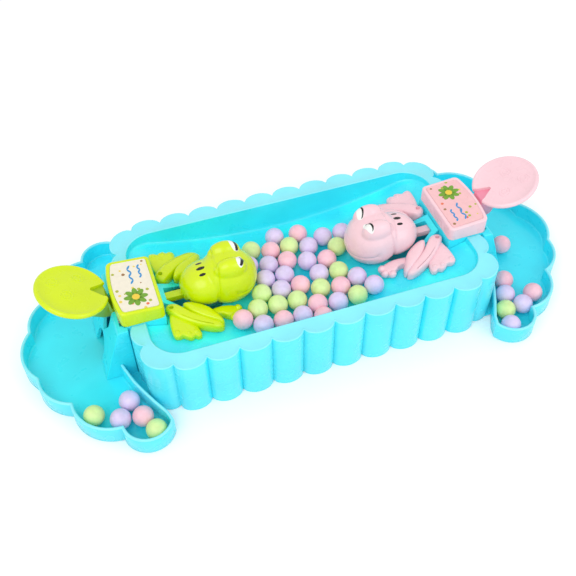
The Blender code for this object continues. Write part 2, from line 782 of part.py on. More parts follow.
def build_housing(name):
    wall = HOUSING_WALL
    inner_half = HOUSING_HALF_WIDTH - wall
    shell = piece(
        name,
        block(
            (HOUSING_INNER_U, -HOUSING_HALF_WIDTH, 0.0),
            (HOOD_START_U + wall, HOUSING_HALF_WIDTH, RIM_HEIGHT),
        ),
    )
    hood = side_prism(hood_profile(0.0), HOOD_HALF_WIDTH)
    join(shell, name + "_hood", hood)
    hollow = side_prism(hood_profile(wall), HOOD_HALF_WIDTH - wall)
    cut(shell, name + "_hood_hollow", hollow)
    room = block(
        (HOUSING_INNER_U + wall, -inner_half, -OVERRUN),
        (HOOD_START_U + wall + OVERRUN, inner_half, RIM_HEIGHT + OVERRUN),
    )
    cut(shell, name + "_room", room)
    under = block(
        (HOUSING_INNER_U - OVERRUN, -inner_half, -OVERRUN),
        (HOUSING_INNER_U + wall + OVERRUN, inner_half, HOUSING_SILL),
    )
    cut(shell, name + "_under", under)
    half = NECK_MOUTH_HALF
    mouth = block(
        (HOUSING_INNER_U - OVERRUN, -half, NECK_LOW_Z - NECK_MOUTH_CLEARANCE),
        (HOUSING_INNER_U + wall + OVERRUN, half, NECK_TOP_Z + NECK_MOUTH_CLEARANCE),
    )
    cut(shell, name + "_neck_mouth", mouth)
    slot_profile = [
        (0.0, SLOT_APEX_Z),
        (SLOT_HALF_WIDTH, SLOT_SHOULDER_Z),
        (SLOT_HALF_WIDTH, RIM_HEIGHT + OVERRUN),
        (-SLOT_HALF_WIDTH, RIM_HEIGHT + OVERRUN),
        (-SLOT_HALF_WIDTH, SLOT_SHOULDER_Z),
    ]
    slot = bmesh.new()
    ends = (HOOD_START_U + wall + OVERRUN, HOOD_FOOT_U + OVERRUN)
    loft(slot, [[(u, v, z) for v, z in slot_profile] for u in ends])
    cut(shell, name + "_slot", slot)
    exit_profile = [(EXIT_HALF_WIDTH, -OVERRUN)]
    for step in range(PORT_STEPS + 1):
        angle = math.pi * step / PORT_STEPS
        exit_profile.append(
            (
                EXIT_HALF_WIDTH * math.cos(angle),
                EXIT_SPRING_Z + EXIT_HALF_WIDTH * math.sin(angle),
            )
        )
    exit_profile.append((-EXIT_HALF_WIDTH, -OVERRUN))
    gate = bmesh.new()
    loft(gate, [[(u, v, z) for v, z in exit_profile] for u in (CHUTE_END_U + FIT_GAP, ends[1])])
    cut(shell, name + "_exit", gate)
    for side, tag in ((1.0, "a"), (-1.0, "b")):
        lug = block(
            (PIVOT_U - LUG_HALF_LENGTH, LUG_INNER_V, LUG_LOW_Z),
            (PIVOT_U + LUG_HALF_LENGTH, LUG_OUTER_V, LUG_TOP_Z),
        )
        foot = block(
            (PIVOT_U - LUG_HALF_LENGTH, PIVOT_PIN_HALF, LUG_LOW_Z),
            (PIVOT_U + LUG_HALF_LENGTH, inner_half + wall / 2.0, RIM_HEIGHT),
        )
        ledge = block(
            (
                HOUSING_INNER_U + wall / 2.0,
                LEDGE_INNER_V,
                RIM_HEIGHT - LEDGE_THICKNESS,
            ),
            (LEDGE_END_U, inner_half + wall / 2.0, RIM_HEIGHT),
        )
        for kind, bm in (("lug", lug), ("lug_foot", foot), ("ledge", ledge)):
            if side < 0:
                bmesh.ops.scale(bm, vec=Vector((1.0, -1.0, 1.0)), verts=bm.verts)
            join(shell, name + "_" + kind + "_" + tag, bm)
        hole = rod(
            (COVER_SCREW_U, side * COVER_SCREW_V, RIM_HEIGHT),
            SCREW_BORE_RADIUS,
            4.0 * LEDGE_THICKNESS,
            "Z",
            BORE_STEPS,
        )
        cut(shell, name + "_screw_hole_" + tag, hole)
    shelf = block(
        (SHELF_START_U, -inner_half - wall / 2.0, SHELF_TOP_Z - SHELF_THICKNESS),
        (SHELF_END_U, inner_half + wall / 2.0, SHELF_TOP_Z),
    )
    join(shell, name + "_shelf", shelf)
    wings = block(
        (HOOD_START_U + wall / 2.0, -HOOD_HALF_WIDTH + wall / 2.0, SHELF_TOP_Z - SHELF_THICKNESS),
        (SHELF_END_U, HOOD_HALF_WIDTH - wall / 2.0, SHELF_TOP_Z),
    )
    join(shell, name + "_shelf_wings", wings)
    saddle = rod(
        (PIVOT_U, 0.0, PIVOT_Z), SADDLE_RADIUS, 2.0 * PIVOT_PIN_HALF + FIT_GAP, "Y", PIN_STEPS
    )
    cut(shell, name + "_saddle", saddle)
    throat = block(
        (PIVOT_U - SADDLE_RADIUS, -PIVOT_PIN_HALF - FIT_GAP / 2.0, PIVOT_Z),
        (PIVOT_U + SADDLE_RADIUS, PIVOT_PIN_HALF + FIT_GAP / 2.0, LUG_TOP_Z + OVERRUN),
    )
    cut(shell, name + "_throat", throat)
    return finish(shell, "basin_blue")


def chute_floor_z(u):
    share = (u - CHUTE_START_U) / (CHUTE_END_U - CHUTE_START_U)
    return CHUTE_FLOOR_START_Z + share * (CHUTE_FLOOR_END_Z - CHUTE_FLOOR_START_Z)


def chute_top_z(u):
    share = (u - CHUTE_START_U) / (CHUTE_END_U - CHUTE_START_U)
    return CHUTE_TOP_START_Z + share * (CHUTE_TOP_END_Z - CHUTE_TOP_START_Z)


def build_chute(name):
    plan = mirrored(
        [
            (CHUTE_END_U, CHUTE_RUN_HALF),
            (CHUTE_NECK_END_U, CHUTE_RUN_HALF),
            (CHUTE_NECK_START_U, CHUTE_CATCH_HALF),
            (CHUTE_START_U, CHUTE_CATCH_HALF),
        ]
    )
    chute = piece(name, prism(plan, lambda u: chute_floor_z(u) - CHUTE_WALL, chute_top_z))
    ear_high = EAR_LOW_Z + EAR_THICKNESS
    inner_catch = CHUTE_CATCH_HALF - CHUTE_WALL
    for side, tag in ((1.0, "a"), (-1.0, "b")):
        near, far = sorted((side * (CHUTE_CATCH_HALF - CHUTE_WALL / 2.0), side * EAR_OUTER_V))
        ear = block(
            (EAR_U - EAR_HALF_LENGTH, near, EAR_LOW_Z),
            (EAR_U + EAR_HALF_LENGTH, far, ear_high),
        )
        join(chute, name + "_ear_" + tag, ear)
        hole = rod(
            (EAR_U, side * BOSS_V, EAR_LOW_Z),
            SCREW_BORE_RADIUS,
            4.0 * EAR_THICKNESS,
            "Z",
            BORE_STEPS,
        )
        cut(chute, name + "_ear_hole_" + tag, hole)
    inner_run = CHUTE_RUN_HALF - CHUTE_WALL
    trough = mirrored(
        [
            (CHUTE_END_U + OVERRUN, inner_run),
            (CHUTE_NECK_END_U, inner_run),
            (CHUTE_NECK_START_U, inner_catch),
            (CHUTE_START_U + CHUTE_WALL, inner_catch),
        ]
    )
    cut(chute, name + "_trough", prism(trough, chute_floor_z, RIM_HEIGHT))
    return finish(chute, "basin_blue")


def cover_outline(less):
    """Rounded plan of the cover, its outer side bowed; less is taken off all round."""
    inner, outer = COVER_INNER_U + less, COVER_OUTER_U - less
    half, radius = COVER_HALF_WIDTH - less, COVER_CORNER - less / 2.0
    points = []
    corners = (
        (outer - radius, half - radius, 0.0),
        (inner + radius, half - radius, 90.0),
        (inner + radius, radius - half, 180.0),
        (outer - radius, radius - half, 270.0),
    )
    for u, v, start in corners:
        for step in range(CORNER_STEPS + 1):
            angle = math.radians(start + 90.0 * step / CORNER_STEPS)
            points.append((u + radius * math.cos(angle), v + radius * math.sin(angle)))
    span = half - radius
    for step in range(1, BOW_STEPS):
        v = -span + 2.0 * span * step / BOW_STEPS
        points.append((outer, v))
    bowed = []
    for u, v in points:
        share = max(0.0, (u - inner) / (outer - inner))
        lift = COVER_BOW * share * (1.0 - (v / half) ** 2)
        bowed.append((u + lift, v))
    return bowed


def cover_top_z(u):
    share = (u - COVER_INNER_U) / (COVER_OUTER_U - COVER_INNER_U)
    return COVER_TOP_INNER_Z + share * (COVER_TOP_OUTER_Z - COVER_TOP_INNER_Z)


def build_cover(name, colour):
    cover = piece(name, prism(cover_outline(0.0), COVER_BASE_Z, cover_top_z, COVER_EDGE))
    hollow = prism(
        cover_outline(COVER_WALL),
        COVER_BASE_Z - OVERRUN,
        lambda u: cover_top_z(u) - COVER_WALL - LABEL_RECESS,
    )
    cut(cover, name + "_hollow", hollow)
    for side, tag in ((1.0, "a"), (-1.0, "b")):
        top = cover_top_z(COVER_SCREW_U) - COVER_WALL
        low = COVER_BASE_Z
        boss = rod(
            (COVER_SCREW_U, side * COVER_SCREW_V, (low + top) / 2.0),
            COVER_BOSS_RADIUS,
            top - low,
            "Z",
            BORE_STEPS,
        )
        join(cover, name + "_boss_" + tag, boss)
        bore = rod(
            (COVER_SCREW_U, side * COVER_SCREW_V, low),
            SCREW_BORE_RADIUS,
            2.0 * SCREW_REACH,
            "Z",
            BORE_STEPS,
        )
        cut(cover, name + "_bore_" + tag, bore)
    recess = prism(
        cover_outline(LABEL_MARGIN),
        lambda u: cover_top_z(u) - LABEL_RECESS,
        COVER_TOP_OUTER_Z + OVERRUN,
    )
    cut(cover, name + "_recess", recess)
    return finish(cover, colour)


def build_label(name, colour):
    low = LABEL_RECESS - FIT_GAP
    plate = prism(
        cover_outline(LABEL_MARGIN + FIT_GAP),
        lambda u: cover_top_z(u) - low,
        lambda u: cover_top_z(u) - low + LABEL_THICKNESS,
    )
    return finish(piece(name, plate), colour)


def pad_body():
    """The pad as a turned dish, tilted up and outward, with a notch toward the cover."""
    half = PAD_THICKNESS / 2.0
    profile = (
        (0.0, half - PAD_LIP),
        (PAD_RADIUS - 3.0 * PAD_EDGE, half - PAD_LIP),
        (PAD_RADIUS - 2.0 * PAD_EDGE, half),
        (PAD_RADIUS - PAD_EDGE, half),
        (PAD_RADIUS, half - PAD_EDGE),
        (PAD_RADIUS, PAD_EDGE - half),
        (PAD_RADIUS - PAD_EDGE, -half),
        (0.0, -half),
    )
    mesh = bpy.data.meshes.new("pad_profile")
    edges = [(index, index + 1) for index in range(len(profile) - 1)]
    mesh.from_pydata([(r, 0.0, z) for r, z in profile], edges, [])
    turned = bpy.data.objects.new("pad_profile", mesh)
    CUTTERS.objects.link(turned)
    screw = turned.modifiers.new("turn", "SCREW")
    screw.axis = "Z"
    screw.steps = PAD_STEPS
    screw.render_steps = PAD_STEPS
    screw.use_merge_vertices = True
    screw.merge_threshold = SEAM_MERGE
    bake(turned)
    notch = bmesh.new()
    tip = NOTCH_DEPTH - PAD_RADIUS
    edge_u = -PAD_RADIUS - OVERRUN
    plan = [
        (tip, -NOTCH_TIP_HALF),
        (tip, NOTCH_TIP_HALF),
        (edge_u, NOTCH_HALF_WIDTH),
        (edge_u, -NOTCH_HALF_WIDTH),
    ]
    loft(notch, [[(u, v, z) for u, v in plan] for z in (-PAD_THICKNESS, PAD_THICKNESS)])
    wedge = tool("pad_notch", notch)
    combine(turned, wedge, "DIFFERENCE")
    bake(turned)
    bm = bmesh.new()
    bm.from_mesh(turned.data)
    bpy.data.objects.remove(turned, do_unlink=True)
    bpy.data.objects.remove(wedge, do_unlink=True)
    tilt = Matrix.Rotation(-math.radians(PAD_TILT_DEG), 4, "Y")
    lift = Matrix.Translation((PAD_U, 0.0, PAD_Z))
    bmesh.ops.transform(bm, matrix=lift @ tilt, verts=bm.verts)
    return bm


def build_lever(name, colour):
    lever = piece(name, pad_body())
    stem = bmesh.new()
    sections = []
    for u, top, low, wide, narrow in STEM_STATIONS:
        sections.append([(u, wide, top), (u, -wide, top), (u, -narrow, low), (u, narrow, low)])
    loft(stem, sections)
    join(lever, name + "_stem", stem)
    hub = rod((PIVOT_U, 0.0, PIVOT_Z), HUB_RADIUS, 2.0 * HUB_HALF_WIDTH, "Y", PIN_STEPS)
    join(lever, name + "_hub", hub)
    rest = math.radians(PRESS_DEG / 2.0)
    swing = Matrix.Translation((PIVOT_U, 0.0, PIVOT_Z)) @ Matrix.Rotation(-rest, 4, "Y")
    for side, tag in ((1.0, "a"), (-1.0, "b")):
        near, far = sorted((side * ARM_INNER_V, side * ARM_OUTER_V))
        arm = block(
            (-ARM_HALF_WIDTH, near, -ARM_LENGTH - ARM_END - NUB_RADIUS / 2.0),
            (ARM_HALF_WIDTH, far, 0.0),
        )
        bmesh.ops.transform(arm, matrix=swing, verts=arm.verts)
        join(lever, name + "_arm_" + tag, arm)
        width = ARM_OUTER_V - NUB_INNER_V - (ARM_OUTER_V - ARM_INNER_V) / 2.0
        nub = rod(
            (0.0, side * (NUB_INNER_V + width / 2.0), -ARM_LENGTH),
            NUB_RADIUS,
            width,
            "Y",
            PIN_STEPS,
        )
        bmesh.ops.transform(nub, matrix=swing, verts=nub.verts)
        join(lever, name + "_nub_" + tag, nub)
    bore = rod(
        (PIVOT_U, 0.0, PIVOT_Z),
        PIVOT_BORE_RADIUS,
        2.0 * (HUB_HALF_WIDTH + OVERRUN),
        "Y",
        PIN_STEPS,
    )
    cut(lever, name + "_bore", bore)
    return finish(lever, colour, pivot=(PIVOT_U, 0.0, PIVOT_Z))


def build_pivot_pin(name):
    pin = rod(
        (PIVOT_U, 0.0, PIVOT_Z), PIVOT_PIN_RADIUS, 2.0 * PIVOT_PIN_HALF, "Y", PIN_STEPS
    )
    return finish(piece(name, pin), "steel", pivot=(PIVOT_U, 0.0, PIVOT_Z))


def least_gap(points, wire, apart):
    """Least clear distance between stretches of a tube that are so many points apart."""
    return min(
        (point - other).length - 2.0 * wire
        for index, point in enumerate(points)
        for other in points[index + apart :]
    )


def build_spring(name):
    curve = bpy.data.curves.new(name, "CURVE")
    curve.dimensions = "3D"
    curve.bevel_depth = SPRING_WIRE
    curve.bevel_resolution = 1
    curve.use_fill_caps = True
    count = SPRING_TURNS * SPRING_STEPS + 1
    spline = curve.splines.new("POLY")
    spline.points.add(count - 1)
    for index, point in enumerate(spline.points):
        share = index / (count - 1)
        angle = math.tau * index / SPRING_STEPS
        height = SPRING_LOW_Z + share * (SPRING_TOP_Z - SPRING_LOW_Z)
        point.co = (
            SPRING_U + SPRING_RADIUS * math.cos(angle),
            SPRING_RADIUS * math.sin(angle),
            height,
            1.0,
        )
    path = [Vector(point.co[:3]) for point in spline.points]
    gap = least_gap(path, SPRING_WIRE, SPRING_STEPS - 1)
    print(name, "least gap between turns in metres:", round(gap, 5))
    coil = bpy.data.objects.new(name + "_path", curve)
    PARTS.objects.link(coil)
    bpy.context.view_layer.update()
    graph = bpy.context.evaluated_depsgraph_get()
    mesh = bpy.data.meshes.new_from_object(coil.evaluated_get(graph))
    bpy.data.objects.remove(coil, do_unlink=True)
    bm = bmesh.new()
    bm.from_mesh(mesh)
    bmesh.ops.remove_doubles(bm, verts=bm.verts, dist=POINT_MERGE)
    return finish(piece(name, bm), "steel", pivot=(SPRING_U, 0.0, SPRING_LOW_Z))


def build_neck(name, colour):
    neck = piece(
        name,
        block(
            (HINGE_U, -NECK_HALF_WIDTH, NECK_LOW_Z), (YOKE_END_U, NECK_HALF_WIDTH, NECK_TOP_Z)
        ),
    )
    eye = rod((HINGE_U, 0.0, HINGE_Z), EYE_RADIUS, 2.0 * NECK_HALF_WIDTH, "Y", PIN_STEPS)
    join(neck, name + "_eye", eye)
    yoke = block(
        (YOKE_START_U, -YOKE_HALF_WIDTH, NECK_LOW_Z), (YOKE_END_U, YOKE_HALF_WIDTH, NECK_TOP_Z)
    )
    join(neck, name + "_yoke", yoke)
    rest = math.radians(PRESS_DEG / 2.0)
    slot_u = PIVOT_U + ARM_LENGTH * math.sin(rest)
    for side, tag in ((1.0, "a"), (-1.0, "b")):
        near, far = sorted((side * (YOKE_HALF_WIDTH - YOKE_PLATE), side * YOKE_HALF_WIDTH))
        plate = block((PLATE_START_U, near, PLATE_LOW_Z), (PLATE_END_U, far, NECK_TOP_Z))
        join(neck, name + "_plate_" + tag, plate)
        slot = block(
            (slot_u - PLATE_SLOT_HALF, near - OVERRUN, PLATE_SLOT_LOW_Z),
            (slot_u + PLATE_SLOT_HALF, far + OVERRUN, PLATE_SLOT_TOP_Z),
        )
        cut(neck, name + "_slot_" + tag, slot)
    bore = rod(
        (HINGE_U, 0.0, HINGE_Z), HINGE_BORE_RADIUS, 4.0 * NECK_HALF_WIDTH, "Y", PIN_STEPS
    )
    cut(neck, name + "_bore", bore)
    return finish(neck, colour)


def build_hinge_pin(name):
    pin = rod((HINGE_U, 0.0, HINGE_Z), HINGE_PIN_RADIUS, 2.0 * HINGE_PIN_HALF, "Y", PIN_STEPS)
    return finish(piece(name, pin), "steel", pivot=(HINGE_U, 0.0, HINGE_Z))


def build_frog(name, colour):
    """The hollow frog: head, torso and eye bumps in one skin, open below."""
    frog = piece(name, ellipsoid(HEAD, 0.0, 0.0, HEAD_SEGMENTS))
    join(frog, name + "_torso", ellipsoid(TORSO, 0.0, 0.0, HEAD_SEGMENTS))
    for side, tag in ((1.0, "a"), (-1.0, "b")):
        bump = ellipsoid(EYE, side * EYE_V, 0.0, EYE_SEGMENTS)
        join(frog, name + "_eye_" + tag, bump)
    cut(frog, name + "_head_hollow", ellipsoid(HEAD, 0.0, FROG_WALL, HEAD_SEGMENTS))
    cut(frog, name + "_torso_hollow", ellipsoid(TORSO, 0.0, FROG_WALL, HEAD_SEGMENTS))
    for side, tag in ((1.0, "a"), (-1.0, "b")):
        lug = rod(
            (HINGE_U, side * (EAR_LUG_INNER_V + EAR_LUG_OUTER_V) / 2.0, HINGE_Z),
            EAR_LUG_RADIUS,
            EAR_LUG_OUTER_V - EAR_LUG_INNER_V,
            "Y",
            PIN_STEPS,
        )
        join(frog, name + "_lug_" + tag, lug)
    ground = block(
        (-HEAD[2], -HEAD[0], -HEAD[0]),
        (HEAD[0] + TORSO[0], HEAD[0], 0.0),
    )
    tilt = Matrix.Rotation(-math.atan(FROG_BASE_SLOPE_SHARE), 4, "Y")
    lift = Matrix.Translation((FROG_BASE_U, 0.0, FROG_BASE_Z))
    bmesh.ops.transform(ground, matrix=lift @ tilt, verts=ground.verts)
    cut(frog, name + "_base", ground)
    tail = block(
        (TAIL_SLOT_START_U, -EAR_LUG_INNER_V + FIT_GAP / 2.0, FROG_BASE_Z),
        (HEAD[0] + TORSO[0], EAR_LUG_INNER_V - FIT_GAP / 2.0, TAIL_SLOT_TOP_Z),
    )
    cut(frog, name + "_tail_slot", tail)
    bore = rod(
        (HINGE_U, 0.0, HINGE_Z), HINGE_BORE_RADIUS, 4.0 * EAR_LUG_OUTER_V, "Y", PIN_STEPS
    )
    cut(frog, name + "_bore", bore)
    return finish(frog, colour, pivot=(HINGE_U, 0.0, HINGE_Z), smooth_deg=50)


def limb_segment(circles, height, shrink=0.0):
    """A rounded-edged solid over the hull of the circles, made smaller by shrink."""
    base = hull_of_circles(circles, shrink)
    top = inset(base, LIMB_ROUND)
    rings = [[(u, v, 0.0) for u, v in base]]
    rings.append([(u, v, height - LIMB_ROUND) for u, v in base])
    rings.append([(u, v, height) for u, v in top])
    bm = bmesh.new()
    loft(bm, rings)
    return bm


def build_limb(name, colour, side):
    """Arm, leg and webbed foot of one side in one moulding that follows the floor."""
    limb = piece(name, limb_segment(THIGH, THIGH_HEIGHT))
    segments = [
        ("shin", limb_segment(SHIN, SHIN_HEIGHT)),
        ("arm", limb_segment(ARM, ARM_HEIGHT)),
        ("foot", limb_segment((HEEL,) + TOES, FOOT_HEIGHT, WEB_INSET)),
        ("hand", limb_segment((PALM,) + FINGERS, HAND_HEIGHT, WEB_INSET)),
    ]
    for index, toe in enumerate(TOES):
        segments.append(("toe_%d" % index, limb_segment((toe,), TOE_HEIGHT)))
    for index, (u, v, _) in enumerate(FINGERS):
        rise = HAND_HEIGHT - LIMB_ROUND / 2.0
        tip = (u - FIT_GAP, rise, FINGERTIP, FINGERTIP, FINGERTIP)
        ball = ellipsoid(tip, v + FIT_GAP, 0.0, FINGER_SEGMENTS)
        segments.append(("finger_%d" % index, ball))
    for kind, bm in segments:
        join(limb, name + "_" + kind, bm)
    bake(limb)
    for vertex in limb.data.vertices:
        vertex.co.z += floor_z(vertex.co.x) + FIT_GAP
        vertex.co.y *= side
    if side < 0:
        limb.data.flip_normals()
    return finish(limb, colour, smooth_deg=50)


def build_screw(name, u, v, seat_z):
    """A pan head under seat_z with its shaft going up."""
    head = rod(
        (u, v, seat_z - FIT_GAP - SCREW_HEAD_HEIGHT / 2.0),
        SCREW_HEAD_RADIUS,
        SCREW_HEAD_HEIGHT,
        "Z",
        PIN_STEPS,
    )
    screw = piece(name, head)
    length = SCREW_REACH + FIT_GAP
    shaft = rod(
        (u, v, seat_z - 2.0 * FIT_GAP + length / 2.0),
        SCREW_SHAFT_RADIUS,
        length,
        "Z",
        PIN_STEPS,
    )
    join(screw, name + "_shaft", shaft)
    return finish(screw, "steel", pivot=(u, v, seat_z))


def build_marble(name, colour, x, y, z):
    bm = bmesh.new()
    bmesh.ops.create_icosphere(bm, subdivisions=MARBLE_SUBDIVISION_STEPS, radius=MARBLE_RADIUS)
    bmesh.ops.translate(bm, vec=Vector((x, y, z)), verts=bm.verts)
    return finish(piece(name, bm), "marble_" + colour, pivot=(x, y, z), smooth_deg=90)


def build_end(tag, turn_deg, shade, label, marbles):
    empty = bpy.data.objects.new(tag + "_end", None)
    PARTS.objects.link(empty)
    empty.rotation_euler = (0.0, 0.0, math.radians(turn_deg))
    made = [
        build_tray(tag + "_tray"),
        build_housing(tag + "_housing"),
        build_chute(tag + "_chute"),
        build_cover(tag + "_label_cover", shade),
        build_label(tag + "_label_plate", label),
        build_lever(tag + "_lever", shade),
        build_pivot_pin(tag + "_pivot_pin"),
        build_spring(tag + "_return_spring"),
        build_neck(tag + "_neck_bar", shade),
        build_hinge_pin(tag + "_hinge_pin"),
        build_frog(tag + "_frog_shell", shade),
        build_limb(tag + "_frog_limb_a", shade, 1.0),
        build_limb(tag + "_frog_limb_b", shade, -1.0),
    ]
    for side, letter in ((1.0, "a"), (-1.0, "b")):
        seat = RIM_HEIGHT - LEDGE_THICKNESS
        made.append(
            build_screw(
                tag + "_cover_screw_" + letter, COVER_SCREW_U, side * COVER_SCREW_V, seat
            )
        )
        made.append(
            build_screw(tag + "_chute_screw_" + letter, EAR_U, side * BOSS_V, EAR_LOW_Z)
        )
    for index, (colour, u, v) in enumerate(marbles):
        z = TRAY_WALL + FIT_GAP + MARBLE_RADIUS
        made.append(
            build_marble("%s_tray_marble_%d" % (tag, index + 1), colour, u, v, z)
        )
    for obj in made:
        obj.parent = empty


def main():
    build_basin()
    build_end("green", 180, "green", "label_cream", GREEN_TRAY_MARBLES)
    build_end("pink", 0, "pink", "label_pink", PINK_TRAY_MARBLES)
    for index, (colour, x, y) in enumerate(BASIN_MARBLES):
        z = floor_z(x) + FIT_GAP + MARBLE_RADIUS
        build_marble("basin_marble_%d" % (index + 1), colour, x, y, z)
    bpy.context.view_layer.update()


clear_scene()
PARTS = make_collection("frog_marble_game")
CUTTERS = make_collection("cutters", hidden=True)
main()
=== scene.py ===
"""Looks of the tabletop marble game with two press-lever frogs, laid out as a Blender
add-on and run as a script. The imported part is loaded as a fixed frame, and every new
piece is modelled in place round it, in metres, +Z up. The pieces of one end are
modelled outward along +X and copied, turned half round, for the other end."""

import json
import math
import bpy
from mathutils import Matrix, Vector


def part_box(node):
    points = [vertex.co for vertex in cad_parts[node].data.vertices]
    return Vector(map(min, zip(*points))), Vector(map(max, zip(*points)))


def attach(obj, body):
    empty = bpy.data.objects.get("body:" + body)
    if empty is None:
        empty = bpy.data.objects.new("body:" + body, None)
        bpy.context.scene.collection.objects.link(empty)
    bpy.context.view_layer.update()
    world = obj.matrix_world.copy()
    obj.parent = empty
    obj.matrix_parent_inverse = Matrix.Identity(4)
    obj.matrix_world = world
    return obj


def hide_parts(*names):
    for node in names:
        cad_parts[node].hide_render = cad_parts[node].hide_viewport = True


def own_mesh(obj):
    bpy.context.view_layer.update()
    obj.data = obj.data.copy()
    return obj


bl_info = {
    "name": "Frog marble game",
    "version": (1, 0, 0),
    "blender": (4, 5, 0),
    "location": "3D View > Sidebar > Frog game",
    "description": "Fluted basin, lever frogs, catching trays and pastel marbles",
    "category": "Object",
}

import bmesh
import bpy
from bpy.props import FloatProperty, FloatVectorProperty, IntProperty, PointerProperty
from mathutils import Matrix, Vector

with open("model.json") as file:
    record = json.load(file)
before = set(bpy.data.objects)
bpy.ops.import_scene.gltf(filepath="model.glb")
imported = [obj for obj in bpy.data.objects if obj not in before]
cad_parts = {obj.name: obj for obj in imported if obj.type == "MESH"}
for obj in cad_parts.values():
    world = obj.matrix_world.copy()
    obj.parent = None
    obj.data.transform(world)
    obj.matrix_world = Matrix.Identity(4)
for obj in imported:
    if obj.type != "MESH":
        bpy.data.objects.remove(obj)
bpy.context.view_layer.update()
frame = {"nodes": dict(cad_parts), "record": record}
SLOT_OF = {part["node"]: part["material_slot"] for part in frame["record"]["subparts"]}

ENDS = {"green": -1.0, "pink": 1.0}
FIT_GAP = 0.0003
OVERRUN = 0.002

# Basin, as in the part
RIM_HEIGHT = 0.040
CUSP_HALF_LENGTH = 0.106
CUSP_HALF_WIDTH = 0.056
CUSP_CORNER_RADIUS = 0.019
FLUTE_DEPTH = 0.0051
CORNER_LOBE_ARC = 0.0234
SHELL_WALL = 0.002
MOUTH_HALF_LENGTH = 0.101
MOUTH_HALF_WIDTH = 0.0487
MOUTH_CORNER_RADIUS = 0.0174
WALL_DRAFT = 0.0007
FLOOR_FILLET = 0.0028
FILLET_RISE_SHARE = 0.2
FLOOR_LOW = 0.0205
FLOOR_RISE = 0.016
FLOOR_HALF_LENGTH = 0.0995

# Port, housing and hood
PORT_CENTRE_U = 0.062
PORT_RADIUS = 0.0135
PORT_TAPER = (0.077, 0.0085)
PORT_SLOT = (0.0855, 0.0047)
COLLAR_WIDTH = 0.0029
COLLAR_START = (0.0790, 0.0104)
COLLAR_FOOT_RISE = 0.0006
COLLAR_REAR_Z = 0.0376
HOUSING_INNER_U = 0.089
HOUSING_HALF_WIDTH = 0.0212
HOUSING_WALL = 0.002
HOUSING_SILL = 0.0282
HOOD_START_U = 0.1115
HOOD_HALF_WIDTH = 0.0243
HOOD_TOP_U = 0.1180
HOOD_TOP_DROP = 0.0010
HOOD_FOOT_U = 0.131
HOOD_ROUND = 0.0042
SLOT_APEX_Z = 0.0183
SLOT_SHOULDER_Z = 0.0285
SLOT_HALF_WIDTH = 0.0075
EXIT_HALF_WIDTH = 0.0085
EXIT_SPRING_Z = 0.0080
SHELF = (0.1092, 0.1166, 0.0208, 0.0220)
PIVOT = (0.100, 0.040)
PIVOT_PIN_HALF = 0.0186
COVER_SCREW = (0.0935, 0.0164)
CHUTE_BOSS = (0.062, 0.0198, 0.0031)
EAR_TOP_Z = 0.0175

# Tray: cusps as u, v and the bulge of the arc that ends there
TRAY_WALL_HEIGHT = 0.013
TRAY_WALL = 0.0018
TRAY_CUSPS = (
    (0.1684, 0.0183, 0.0066),
    (0.1528, 0.0421, 0.0047),
    (0.1286, 0.0668, 0.0070),
    (0.1000, 0.0705, 0.0112),
)
TRAY_INNER_PATH = (
    (0.1016, 0.0645),
    (0.1070, 0.0545),
    (0.1111, 0.0460),
    (0.1145, 0.0385),
    (0.1172, 0.0300),
    (0.1188, 0.0246),
)

# Cover and label
COVER_INNER_U = 0.089
COVER_OUTER_U = 0.1138
COVER_BOW = 0.0024
COVER_HALF_WIDTH = 0.0214
COVER_CORNER = 0.0028
COVER_BASE_Z = 0.0403
COVER_TOP = (0.0491, 0.0512)
COVER_WALL = 0.0018
LABEL_MARGIN = 0.0021
LABEL_RECESS = 0.0008

# Lever
HUB_RADIUS = 0.0038
HUB_HALF_WIDTH = 0.0162
PIVOT_BORE_RADIUS = 0.0018
PAD_CENTRE = (0.1358, 0.0, 0.057)
PAD_RADIUS = 0.0205
PAD_THICKNESS = 0.0032
PAD_TILT_DEG = 20.5
PAD_SINK = 0.0007
PAD_DOME = 0.0014
PAD_SWIRLS = ((-0.0045, -0.0085), (0.0035, 0.0050), (0.0100, -0.0055))
SWIRL_RADII = (0.0032, 0.0016)
SWIRL_BEAD = 0.0005
NOTCH_DEPTH = 0.0105
NOTCH_HALF_WIDTH = 0.0078
STEM_STATIONS = (
    (0.1005, 0.0425, 0.0372, 0.0055, 0.0050),
    (0.1090, 0.0394, 0.0345, 0.0055, 0.0046),
    (0.1168, 0.0394, 0.0332, 0.0055, 0.0046),
    (0.1184, 0.0500, 0.0310, 0.0053, 0.0022),
    (0.1226, 0.0516, 0.0302, 0.0055, 0.0012),
    (0.1290, 0.0538, 0.0335, 0.0055, 0.0012),
    (0.1370, 0.0565, 0.0530, 0.0045, 0.0012),
)

# Frog: u, v, z and half sizes
HEAD = ((0.0470, 0.0, 0.0380), (0.0180, 0.0165, 0.0172))
TORSO = ((0.0602, 0.0, 0.0370), (0.0160, 0.0145, 0.0125))
EYE = ((0.0463, 0.0072, 0.0500), (0.0100, 0.0058, 0.0078))
FROG_WALL = 0.0018
FROG_BASE = (0.030, 0.0232, 0.173)
HINGE = (0.072, 0.034)
SPRING = (0.1129, 0.0027, 0.0229, 0.0323)

